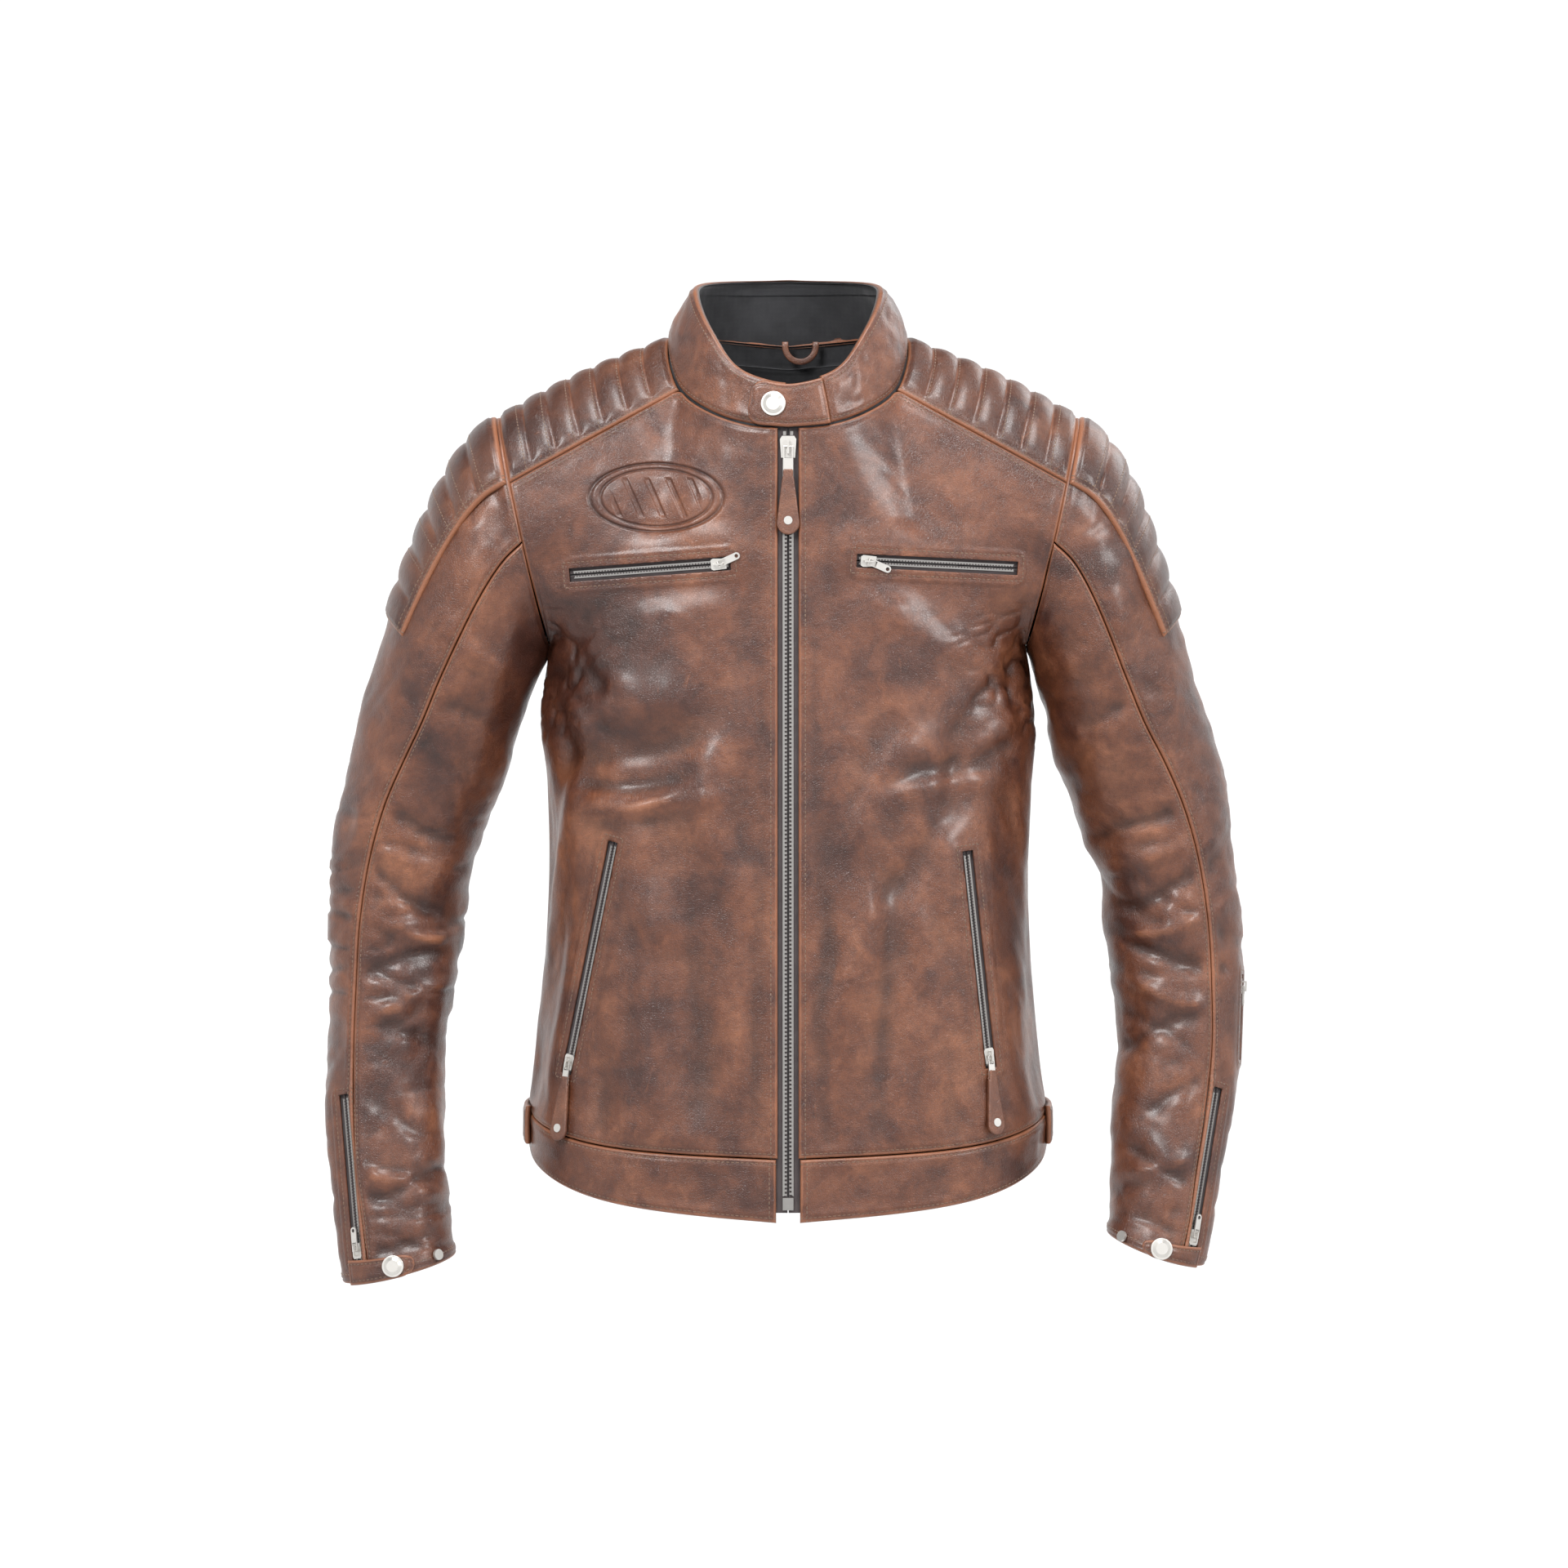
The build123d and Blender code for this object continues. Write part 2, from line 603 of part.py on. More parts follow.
def body_lining():
    solids = []
    for side in (-1, 1):
        names = zip_names(side, ("chest", "hand"))
        point = inset_point(lambda u, v: flatten(front_point(side, u, v), names),
                            LINING_INSET, body_core)
        solids.append(shell(point, steps(0.05, 0.985, 14), steps(0.0, 1.94, 22),
                            LINING, (0, 20, -300), LINING_FIT))
        point = inset_point(lambda u, v: yoke_point(side, u, v), LINING_INSET, body_core)
        solids.append(shell(point, steps(0.06, 0.94, 10), steps(0.06, 0.9, 10),
                            LINING, (side * 130, 5, -220), LINING_FIT))
    point = inset_point(back_point, LINING_INSET, body_core)
    solids.append(shell(point, steps(0.01, 0.99, 24), steps(0.0, 1.94, 22),
                        LINING, (0, 0, -300), LINING_FIT))
    return grouped(solids)


def band_point(low_angle, high_angle):
    """Hem band surface between two angles round the body."""
    def point(u, v):
        angle = low_angle + (high_angle - low_angle) * u
        turned = abs(angle) if abs(angle) <= 180 else 360 - abs(angle)
        low = read(HEM, turned)[0]
        high = read(BAND_TOP, turned)[0] - 2 * SEAM
        return body_point(angle, low + (high - low) * v)
    return point


def hem_band(side):
    start = front_angle(0, -625.0)
    return shell(band_point(side * start, side * (90 - 0.25)), steps(0, 1, 12), steps(0, 1, 4),
                 LEATHER, (0, 20, -620))


def collar(inset, thickness, low, high):
    """Collar from its left end round the back to its right end."""
    span = (COLLAR_LEFT_END, 360 + COLLAR_RIGHT_END)

    def point(u, v):
        angle = span[0] + (span[1] - span[0]) * u
        angle = angle if angle <= 180 else angle - 360
        here = collar_point(angle, low + (high - low) * v)
        gap = vector(here, (0, -4, here[2]))
        return add(here, scale((gap.X, gap.Y, gap.Z), inset / gap.length))

    return shell(point, steps(0, 1, 40), steps(0, 1, 5), thickness, (0, -4, -40), COLLAR_FIT)


def collar_tab():
    """Front tab that carries on from the collar's left end and laps over its right end."""
    def point(u, v):
        angle = COLLAR_LEFT_END - 0.6 + (-19.0 - COLLAR_LEFT_END) * u
        here = collar_point(angle, 0.04 + 0.92 * v)
        gap = vector((0, -4, here[2]), here)
        return add(here, scale((gap.X, gap.Y, gap.Z), TAB_LIFT / gap.length))

    return shell(point, steps(0, 1, 12), steps(0, 1, 4), TAB_THICK, (0, -400, -40))


# ---------------------------------------------------------------- sleeves
def sleeve_seam(ring):
    return read(SLEEVE_SEAM, ring)[0]


def sleeve_zip_names(side):
    return ["cuff_left", "sleeve_pocket"] if side > 0 else ["cuff_right"]


def sleeve_panel(side, low, high):
    """Leather tube wall between two seam angles given as functions of the ring number."""
    names = sleeve_zip_names(side)
    first = 0.03

    def point(u, v):
        margin = degrees(SEAM / 50)
        start, end = low(v) + margin, high(v) - margin
        here = sleeve_point(side, v, start + (end - start) * u)
        return flatten(add(here, (side * 0.9, 0, 0)) if v < 0.5 else here, names)

    return shell(point, steps(0, 1, 18), steps(first, SLEEVE_END, 40), LEATHER,
                 sleeve_frame(side, 7.5)[0], FLAT_FIT)


def sleeve_outer(side):
    panel = sleeve_panel(side, lambda v: SLEEVE_BACK_SEAM, sleeve_seam)
    for name in sleeve_zip_names(side):
        panel -= slot(name, before=24 if name.startswith("cuff") else 3, after=3)
    return panel


def sleeve_under(side):
    return sleeve_panel(side, sleeve_seam, lambda v: 360 + SLEEVE_BACK_SEAM)


def sleeve_lining(side):
    halves = []
    for start in (2.0, 182.0):
        halves.append(shell(
            lambda u, v: sleeve_point(side, v, start + 176 * u, SLEEVE_LINING_INSET),
            steps(0, 1, 12), steps(0.6, SLEEVE_END - 0.3, 26), LINING,
            sleeve_frame(side, 7.5)[0], LINING_FIT))
    return grouped(halves)


def sleeve_quilt(side):
    """Padded panel stitched on over the sleeve head."""
    def point(u, v):
        ring = 0.25 + (SLEEVE_QUILT_END - 0.25) * v
        wide = SLEEVE_QUILT_ANGLES[0] + (SLEEVE_QUILT_ANGLES[1] - SLEEVE_QUILT_ANGLES[0]) * v
        return sleeve_point(side, ring, wide * (1 - 2 * u), -QUILT_LIFT - QUILT)

    return shell(point, steps(0, 1, 12), steps(0, 1, 12), QUILT,
                 sleeve_frame(side, 2)[0])


# ---------------------------------------------------------------- straps, snaps and small pieces
def lifted(here, normal, distance):
    return add(here, scale(normal, distance))


def cuff_tab(side):
    def point(u, v):
        angle = CUFF_TAB["start"] + (CUFF_TAB["end"] - CUFF_TAB["start"]) * u
        taper = 0.12 * max(0.0, u - 0.8) / 0.2
        ring = CUFF_TAB["ring_low"] - taper / 2
        ring += (CUFF_TAB["ring_high"] + taper / 2 - ring) * v
        return sleeve_point(side, ring, angle, -STRAP_LIFT)

    outside = scale(sleeve_normal(side, 14.8, 76), 400)
    return shell(point, steps(0, 1, 12), steps(0, 1, 3), STRAP_THICK, outside, COLLAR_FIT)


def waist_normal(angle, z):
    here = body_point(angle, z)
    run = vector(here, body_point(angle + 1, z))
    normal = run.cross(Vector(0, 0, 1)).normalized()
    normal = normal if normal.dot(Vector(*here)) > 0 else -normal
    return (normal.X, normal.Y, normal.Z)


def waist_strap(side):
    def point(u, v):
        angle = WAIST_STRAP["start"] + (WAIST_STRAP["end"] - WAIST_STRAP["start"]) * u
        taper = 3.0 * max(0.0, u - 0.85) / 0.15
        low, high = WAIST_STRAP["low"] + taper, WAIST_STRAP["high"] - taper
        z = low + (high - low) * v
        return lifted(body_point(side * angle, z), waist_normal(side * angle, z), STRAP_LIFT)

    return shell(point, steps(0, 1, 14), steps(0, 1, 3), STRAP_THICK, (side * 900, 20, -590), COLLAR_FIT)


def standing(here, normal, lift):
    """Location on a surface with its z axis along the surface normal."""
    return Plane(origin=Vector(*lifted(here, normal, lift)), z_dir=Vector(*normal)).location


def collar_snap_place():
    """Surface point and normal under the collar's snap."""
    angle = COLLAR_SNAP_ANGLE
    here = collar_point(angle, 0.5)
    across = vector(here, collar_point(angle + 1, 0.5))
    upward = vector(here, collar_point(angle, 0.55))
    normal = across.cross(upward).normalized()
    normal = normal if normal.Y < 0 else -normal
    return here, (normal.X, normal.Y, normal.Z)


def cuff_snap_place(side, angle=CUFF_SNAP["angle"]):
    ring = CUFF_SNAP["ring"]
    return sleeve_point(side, ring, angle), sleeve_normal(side, ring, angle)


def waist_snap_place(side):
    angle, z = side * WAIST_SNAP["angle"], WAIST_SNAP["z"]
    return body_point(angle, z), waist_normal(angle, z)


def stud(place, top, foot=STUD_FOOT):
    """Round stud whose foot and top are at these distances from the surface."""
    here, normal = place
    body = Cylinder(STUD_RADIUS, top - foot, align=(Align.CENTER, Align.CENTER, Align.MIN))
    return standing(here, normal, foot) * body


def cap(place, lift, radius):
    here, normal = place
    return standing(here, normal, lift) * dome(radius, CAP_HEIGHT)


def hanger_loop():
    """Leather loop at the back of the neck, hanging from two ends under the collar seam."""
    outer, inner = 14.0, 9.0
    arc = Pos(0, 0) * Circle(outer) - Circle(inner)
    arc -= Pos(0, outer) * Rectangle(4 * outer, 2 * outer)
    legs = [Pos(hand * (outer + inner) / 2, 2.0) * Rectangle(outer - inner, 4.2) for hand in (-1, 1)]
    profile = arc + legs[0] + legs[1]
    loop = extrude(profile, 1.1, both=True)
    return Pos(9.5, 62.0, -6.0) * Rot(90, 0, 0) * loop


def main_zip_ends():
    """Bottom box and pin plate, and the two top stops, of the main zip."""
    length = ZIPS["main"][1]
    place = on_zip("main")
    solids = [place * Pos(0, length + 5.5, 0) * Box(7.8, 9.0, 3.6)]
    for hand in (-1, 1):
        solids.append(place * Pos(hand * 2.6, -2.0, 0) * Box(2.2, 3.0, 3.0))
    return grouped(solids)


def zip_group(names, make):
    solids = []
    for name in names:
        solids += make(name)
    return grouped(solids)


def pulls(name, long, end, width, thick, rivet_y, hole):
    """Metal pull with its rivet, and the leather pull that the rivet closes."""
    size = ZIPS[name][2]["size"]
    place = pull_location(name)
    metal_end = -(long + 3.6 * size)
    metal = [place * pull_plate(size, long, hole), place * rivet(rivet_y, thick)]
    return grouped(metal), place * leather_pull(metal_end, end, width, thick, rivet_y)


# ---------------------------------------------------------------- the pieces, one file each
def build():
    for side, hand in ((-1, "right"), (1, "left")):
        put("front_panel_" + hand, front_panel(side))
        put("shoulder_yoke_" + hand, shell(
            lambda u, v: yoke_point(side, u, v), steps(0.012, 0.988, 12), steps(0.02, 0.99, 10),
            QUILT, (side * 150, 5, -200)))
        put("hem_band_" + hand, hem_band(side))
        put("sleeve_outer_" + hand, sleeve_outer(side))
        put("sleeve_under_" + hand, sleeve_under(side))
        put("sleeve_quilt_" + hand, sleeve_quilt(side))
        put("sleeve_lining_" + hand, sleeve_lining(side))
        put("sleeve_zip_tapes_" + hand, zip_group(sleeve_zip_names(side), tapes))
        put("sleeve_zip_teeth_" + hand, zip_group(sleeve_zip_names(side), teeth_rows))
        put("cuff_slider_" + hand, slider("cuff_" + hand))
        put("cuff_pull_" + hand, pull_location("cuff_" + hand) * pull_plate(0.72, 15, 1.4))
        put("cuff_tab_" + hand, cuff_tab(side))
        cap_lift = STRAP_LIFT + STRAP_THICK + CAP_SPACE
        put("cuff_snap_cap_" + hand, cap(cuff_snap_place(side), cap_lift, CUFF_CAP))
        put("cuff_studs_" + hand, grouped([
            stud(cuff_snap_place(side), STRAP_LIFT - STUD_SPACE, CUFF_STUD_FOOT),
            stud(cuff_snap_place(side, CUFF_SNAP["spare_angle"]), CUFF_STUD_FOOT + SPARE_STUD,
                 CUFF_STUD_FOOT)]))
        put("waist_strap_" + hand, waist_strap(side))
        put("waist_snap_cap_" + hand, cap(waist_snap_place(side), cap_lift, CUFF_CAP))
        put("chest_slider_" + hand, slider("chest_" + hand))
        put("chest_pull_" + hand, pull_location("chest_" + hand) * pull_plate(0.72, 15, 1.4))
        put("hand_slider_" + hand, slider("hand_" + hand))
        metal, leather = pulls("hand_" + hand, 15, -58.0, 14.0, 2.4, -49.0, 1.4)
        put("hand_pull_" + hand, metal)
        put("hand_pull_tab_" + hand, leather)
    put("back_panel", shell(back_point, steps(edge_share(380), 1 - edge_share(380), 26),
                            steps(edge_share(350), 2 - edge_share(150), 28), LEATHER, (0, 0, -300), 0.1))
    put("hem_band_back", shell(band_point(90.25, 269.75), steps(0, 1, 24), steps(0, 1, 4),
                               LEATHER, (0, 0, -620)))
    put("collar_shell", collar(0.0, LEATHER, 0.04, 1.0))
    put("collar_lining", collar(LEATHER + 0.5, LINING, 0.04, 0.98))
    put("collar_tab", collar_tab())
    put("collar_snap_cap", cap(collar_snap_place(), TAB_LIFT + TAB_THICK + CAP_SPACE, SNAP_CAP))
    put("body_lining", body_lining())
    put("hanger_loop", hanger_loop())
    put("main_zip_teeth", grouped(teeth_rows("main")))
    put("main_zip_ends", main_zip_ends())
    pockets = ["chest_right", "chest_left", "hand_right", "hand_left"]
    put("body_zip_tapes", grouped(tapes("main", 6.0, 16.0) + list(zip_group(pockets, tapes).children)))
    put("pocket_zip_teeth", zip_group(pockets, teeth_rows))
    put("body_studs", grouped([
        stud(collar_snap_place(), TAB_LIFT - STUD_SPACE),
        stud(waist_snap_place(-1), STRAP_LIFT - STUD_SPACE),
        stud(waist_snap_place(1), STRAP_LIFT - STUD_SPACE)]))
    put("main_slider", slider("main"))
    metal, leather = pulls("main", 20, -64.0, 16.0, 3.0, -54.0, 2.0)
    put("main_pull", metal)
    put("main_pull_tab", leather)
    put("sleeve_pocket_slider", slider("sleeve_pocket"))
    put("sleeve_pocket_pull", pull_location("sleeve_pocket") * pull_plate(0.72, 12, 1.4))


build()
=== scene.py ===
import bpy
import bmesh
from math import asin, cos, degrees, pi, radians, sin, sqrt
import numpy as np
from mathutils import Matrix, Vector
from mathutils.bvhtree import BVHTree


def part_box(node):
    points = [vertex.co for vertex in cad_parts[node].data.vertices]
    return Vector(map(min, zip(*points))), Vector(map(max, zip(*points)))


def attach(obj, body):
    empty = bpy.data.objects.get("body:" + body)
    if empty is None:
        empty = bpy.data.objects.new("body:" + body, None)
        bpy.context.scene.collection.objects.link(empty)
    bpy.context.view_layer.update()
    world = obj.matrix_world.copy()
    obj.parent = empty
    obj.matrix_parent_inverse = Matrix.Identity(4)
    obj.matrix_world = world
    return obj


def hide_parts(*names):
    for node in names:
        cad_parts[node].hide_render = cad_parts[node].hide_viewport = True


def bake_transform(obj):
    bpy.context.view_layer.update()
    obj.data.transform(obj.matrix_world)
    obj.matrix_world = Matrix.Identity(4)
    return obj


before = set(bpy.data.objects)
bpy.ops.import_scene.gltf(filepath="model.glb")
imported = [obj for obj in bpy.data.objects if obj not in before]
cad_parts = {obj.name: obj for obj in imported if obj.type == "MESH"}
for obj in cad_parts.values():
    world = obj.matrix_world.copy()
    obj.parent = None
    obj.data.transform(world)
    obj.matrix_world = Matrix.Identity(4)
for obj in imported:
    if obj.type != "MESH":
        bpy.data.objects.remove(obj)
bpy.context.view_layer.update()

# Leather riding jacket: the looks.  Shapes are worked out in millimetres in the CAD frame and
# turned into metres when a mesh is made.  +Z up, the front faces -Y, the wearer's left is +X.

MM = 0.001
HANDS = ((-1, "right"), (1, "left"))

# ---------------------------------------------------------------- the jacket's own dimensions
FRONT_TOP_Z = -69.0
FRONT_TOP_Y = -75.0
FRONT_LEAN = 0.0864
FRONT_GAP = 7.6
SQUARENESS = 0.035
ARMPIT_Z = -231.0
ARMHOLE_X = 197.0
ARMHOLE_TILT = 19.0
ARMHOLE_Y = 5.0
ARMHOLE_DEPTH = 68.0
ARMHOLE_Z = -145.5
ARMHOLE_HEIGHT = 85.5
YOKE_ANGLE = 65.0
YOKE_CROWN = 5.0
YOKE_RIBS = 7
NECK_HALF_WIDTH = 90.0
NECK_DEPTH = 75.0
NECK_FRONT_ANGLE = 64.0
NECK_BACK_ANGLE = 122.0
NECK_SHARE = 0.36
BACK_SHARE = 0.29
BODY = [
    (-660, 194, 0, 105), (-610, 195, 0, 103), (-580, 195, 0, 101), (-546, 190, 2, 97),
    (-474, 183, 4, 92), (-402, 180, 6, 92), (-330, 181, 8, 100), (-294, 185, 8, 106),
    (-262, 183, 7, 110), (-231, 178, 5, 113)]
HEM = [(0, -648), (38, -636), (72, -618), (90, -610), (135, -620), (180, -630)]
BAND_TOP = [(0, -601), (38, -595), (72, -584), (90, -579), (135, -584), (180, -588)]
NECK_SEAM = [(0, -69), (20, -66), (40, -57), (64, -40), (80, -19), (95, -3), (122, 0), (180, -6)]
COLLAR_TOP = [(0, -39), (33, -24), (56, 4), (75, 24), (90, 35), (120, 42), (180, 45)]
SLEEVE_DEPTHS = [
    (5, 68), (5, 69), (5, 69), (6, 68), (8, 66), (10, 63), (12, 60), (13, 57),
    (13, 54), (10, 52), (4, 49), (-5, 46), (-16, 45), (-27, 44), (-37, 43), (-46, 42)]
SLEEVE_EDGES = {
    -1: [(216, -60, 178, -231), (240, -82, 183, -245), (262, -118, 190, -262),
         (284, -168, 197, -280), (301, -216, 204, -300), (314, -258, 210, -325),
         (325, -296, 219, -348), (335, -335, 230, -375), (343, -380, 239, -410),
         (348, -430, 245, -448), (348, -480, 252, -488), (348, -530, 257, -532),
         (347, -580, 257, -578), (344, -620, 257, -616), (338, -660, 252, -652),
         (332, -704, 248, -684)],
    1: [(216, -60, 178, -231), (240, -82, 183, -245), (260, -118, 188, -262),
        (278, -168, 194, -280), (294, -216, 197, -300), (306, -258, 204, -325),
        (319, -296, 213, -348), (330, -335, 222, -375), (336, -380, 236, -410),
        (342, -430, 239, -448), (343, -480, 243, -488), (341, -530, 247, -532),
        (334, -580, 243, -578), (325, -620, 243, -612), (319, -655, 240, -645),
        (309, -691, 238, -668)]}
SLEEVE_END = len(SLEEVE_DEPTHS) - 1
SLEEVE_SEAM = [(0, 95), (3, 88), (5, 80), (8, 66), (10, 62), (15, 62)]
SLEEVE_BACK_SEAM = -80.0
SLEEVE_QUILT_START = 0.12
SLEEVE_QUILT_END = 3.9
SLEEVE_QUILT_ANGLES = (64.0, 45.0)
SLEEVE_QUILT_RIBS = 6
MAIN_ZIP = (-75, -628)
CHEST_ZIPS = {-1: ((-44, -168), (-159, -177)), 1: ((52, -166), (167, -172))}
HAND_ZIPS = {-1: ((-163.5, -543), (-129, -374)), 1: ((149, -537), (132, -381))}
CUFF_ZIPS = {-1: ((14.6, 51), (11.7, 51)), 1: ((14.6, 51), (11.6, 51))}
POCKET_ZIP = ((10.0, 14), (11.2, 10))
ZIP_OPENING = 5.0
COLLAR_RIGHT_END = -1.5
COLLAR_LEFT_END = 20.0
COLLAR_MIDDLE_Y = -4.0
COLLAR_TOP_MIDDLE_Y = -4.5
COLLAR_TOP_HALF_WIDTH = 70.0
COLLAR_TOP_DEPTH = 66.5
COLLAR_TOP_SOFTENING = 60
COLLAR_BULGE = 3.0
TAB_END_ANGLE = -19.2
SEAM_GAP = 0.4
BAND_GAP = 0.7

# How far pieces stand off the surface below them
TAB_LIFT = 3.9
CUFF_TAB_LIFT = 4.2
STRAP_LIFT = 4.4
QUILT_LIFT = 3.4
LINING_GAP = 2.6
LINING_DROP = 13.0
LINING_BELOW = 34
YOKE_LINING_DROP = 6.5

# Generic oval on the chest: middle (x, z) and half sizes
EMBLEM_MIDDLE = (-97, -120)
EMBLEM_HALF = (49, 25)


# ---------------------------------------------------------------- small helpers
def add(a, b):
    return tuple(p + q for p, q in zip(a, b))


def scaled(a, k):
    return tuple(p * k for p in a)


def mix(a, b, t):
    return tuple(p + (q - p) * t for p, q in zip(a, b))


def vector(a, b):
    return Vector(b) - Vector(a)


def smooth(low, high, value):
    t = np.clip((value - low) / (high - low), 0, 1)
    return t * t * (3 - 2 * t)


def wrapped(angle):
    """The same angle, between -180 and 180 degrees."""
    if angle > 180:
        return angle - 360
    return angle + 360 if angle <= -180 else angle


def placed(name, data):
    """A new object in the scene."""
    thing = bpy.data.objects.new(name, data)
    bpy.context.collection.objects.link(thing)
    return thing


def read(table, key):
    """Values of a table at a key, by a smooth curve through its rows."""
    if key <= table[0][0]:
        return table[0][1:]
    if key >= table[-1][0]:
        return table[-1][1:]
    i = max(k for k in range(len(table) - 1) if table[k][0] <= key)

    def slope(k):
        low = table[max(k - 1, 0)]
        high = table[min(k + 1, len(table) - 1)]
        return [(q - p) / (high[0] - low[0]) for p, q in zip(low[1:], high[1:])]

    span = table[i + 1][0] - table[i][0]
    t = (key - table[i][0]) / span
    values = zip(table[i][1:], table[i + 1][1:], slope(i), slope(i + 1))
    return tuple(
        p * (1 + 2 * t) * (1 - t) ** 2 + q * t * t * (3 - 2 * t)
        + span * (m * t * (1 - t) ** 2 - n * t * t * (1 - t))
        for p, q, m, n in values)


# ---------------------------------------------------------------- surfaces, as in the CAD
def front_line(z):
    return FRONT_TOP_Y + (z - FRONT_TOP_Z) * FRONT_LEAN


def body_point(angle, z):
    """Point of the body ring at a height; angle is 0 at the front centre and 90 at the +X side."""
    half, side_y, back_y = read(BODY, z)
    a = radians(angle)
    depth = side_y - front_line(z) if cos(a) > 0 else back_y - side_y
    across = (sin(a) + SQUARENESS * sin(3 * a)) / (1 - SQUARENESS)
    along = (cos(a) - SQUARENESS * cos(3 * a)) / (1 - SQUARENESS)
    return (half * across, side_y - depth * along, z)


def neck_point(angle):
    a = radians(angle)
    return (NECK_HALF_WIDTH * sin(a), -NECK_DEPTH * cos(a), read(NECK_SEAM, abs(angle))[0])


def collar_point(angle, v):
    a = radians(angle)
    low = neck_point(angle)
    top_z = read(COLLAR_TOP, sqrt(angle * angle + COLLAR_TOP_SOFTENING))[0]
    top = (COLLAR_TOP_HALF_WIDTH * sin(a), COLLAR_TOP_MIDDLE_Y - COLLAR_TOP_DEPTH * cos(a), top_z)
    bulge = COLLAR_BULGE * sin(pi * v) * abs(sin(a))
    return add(mix(low, top, v), (bulge * sin(a), -bulge * cos(a) * 0.5, 0))


def armhole_point(side, angle):
    a = radians(angle)
    return (side * (ARMHOLE_X + ARMHOLE_TILT * cos(a)),
            ARMHOLE_Y - ARMHOLE_DEPTH * sin(a),
            ARMHOLE_Z + ARMHOLE_HEIGHT * cos(a))


def front_angle(u, z):
    half = read(BODY, z)[0]
    start = degrees(FRONT_GAP * (1 - SQUARENESS) / (half * (1 + 3 * SQUARENESS)))
    return start + (90 - start) * u


def coons(bottom, top, left, right, u, v):
    """Point inside four boundary curves."""
    corners = mix(mix(bottom(0), bottom(1), u), mix(top(0), top(1), u), v)
    edges = add(mix(bottom(u), top(u), v), mix(left(v), right(v), u))
    return tuple(p - q for p, q in zip(edges, corners))


def front_top(side, u):
    start = degrees(asin(FRONT_GAP / NECK_HALF_WIDTH))
    if u < NECK_SHARE:
        return neck_point(side * (start + (NECK_FRONT_ANGLE - start) * u / NECK_SHARE))
    corner = neck_point(side * NECK_FRONT_ANGLE)
    return mix(corner, armhole_point(side, YOKE_ANGLE), (u - NECK_SHARE) / (1 - NECK_SHARE))


def front_point(side, u, v):
    """Front panel: v runs from the hem band (0) to the armpit (1) and on to the yoke (2)."""
    if v <= 1:
        low = read(BAND_TOP, front_angle(u, ARMPIT_Z))[0]
        z = low + (ARMPIT_Z - low) * v
        return body_point(side * front_angle(u, z), z)

    def left(w):
        z = ARMPIT_Z + (FRONT_TOP_Z - ARMPIT_Z) * w
        return (side * FRONT_GAP, front_line(z), z)

    return coons(lambda w: body_point(side * front_angle(w, ARMPIT_Z), ARMPIT_Z),
                 lambda w: front_top(side, w), left,
                 lambda w: armhole_point(side, 180 + (YOKE_ANGLE - 180) * w), u, v - 1)


def back_top(u):
    if u < BACK_SHARE:
        return mix(armhole_point(-1, -YOKE_ANGLE), neck_point(-NECK_BACK_ANGLE), u / BACK_SHARE)
    if u > 1 - BACK_SHARE:
        return mix(armhole_point(1, -YOKE_ANGLE), neck_point(NECK_BACK_ANGLE), (1 - u) / BACK_SHARE)
    share = (u - BACK_SHARE) / (1 - 2 * BACK_SHARE)
    angle = -NECK_BACK_ANGLE - 2 * (180 - NECK_BACK_ANGLE) * share
    return neck_point(wrapped(angle))


def back_point(u, v):
    turned = 90 + 180 * u

    def ring(w, z):
        return body_point(wrapped(-(90 + 180 * w)), z)

    if v <= 1:
        low = read(BAND_TOP, abs(wrapped(turned)))[0]
        return ring(u, low + (ARMPIT_Z - low) * v)
    return coons(lambda w: ring(w, ARMPIT_Z), back_top,
                 lambda w: armhole_point(-1, 180 + (180 - YOKE_ANGLE) * w),
                 lambda w: armhole_point(1, 180 + (180 - YOKE_ANGLE) * w), u, v - 1)


def yoke_point(side, u, v):
    inner = neck_point(side * (NECK_FRONT_ANGLE + (NECK_BACK_ANGLE - NECK_FRONT_ANGLE) * u))
    outer = armhole_point(side, YOKE_ANGLE * (1 - 2 * u))
    return add(mix(inner, outer, v), (0, 0, YOKE_CROWN * sin(pi * v) * sin(pi * u)))


def sleeve_frame(side, ring):
    table = [(i,) + edge + depth for i, (edge, depth)
             in enumerate(zip(SLEEVE_EDGES[side], SLEEVE_DEPTHS))]
    outer_x, outer_z, inner_x, inner_z, middle_y, depth = read(table, ring)
    centre = (side * (outer_x + inner_x) / 2, middle_y, (outer_z + inner_z) / 2)
    reach = (side * (outer_x - inner_x) / 2, 0, (outer_z - inner_z) / 2)
    return centre, reach, depth


def sleeve_point(side, ring, angle, inset=0.0):
    centre, reach, depth = sleeve_frame(side, ring)
    a = radians(angle)
    size = sqrt(reach[0] ** 2 + reach[2] ** 2)
    reach = scaled(reach, (size - inset) / size * cos(a))
    return add(centre, add(reach, (0, -(depth - inset) * sin(a), 0)))


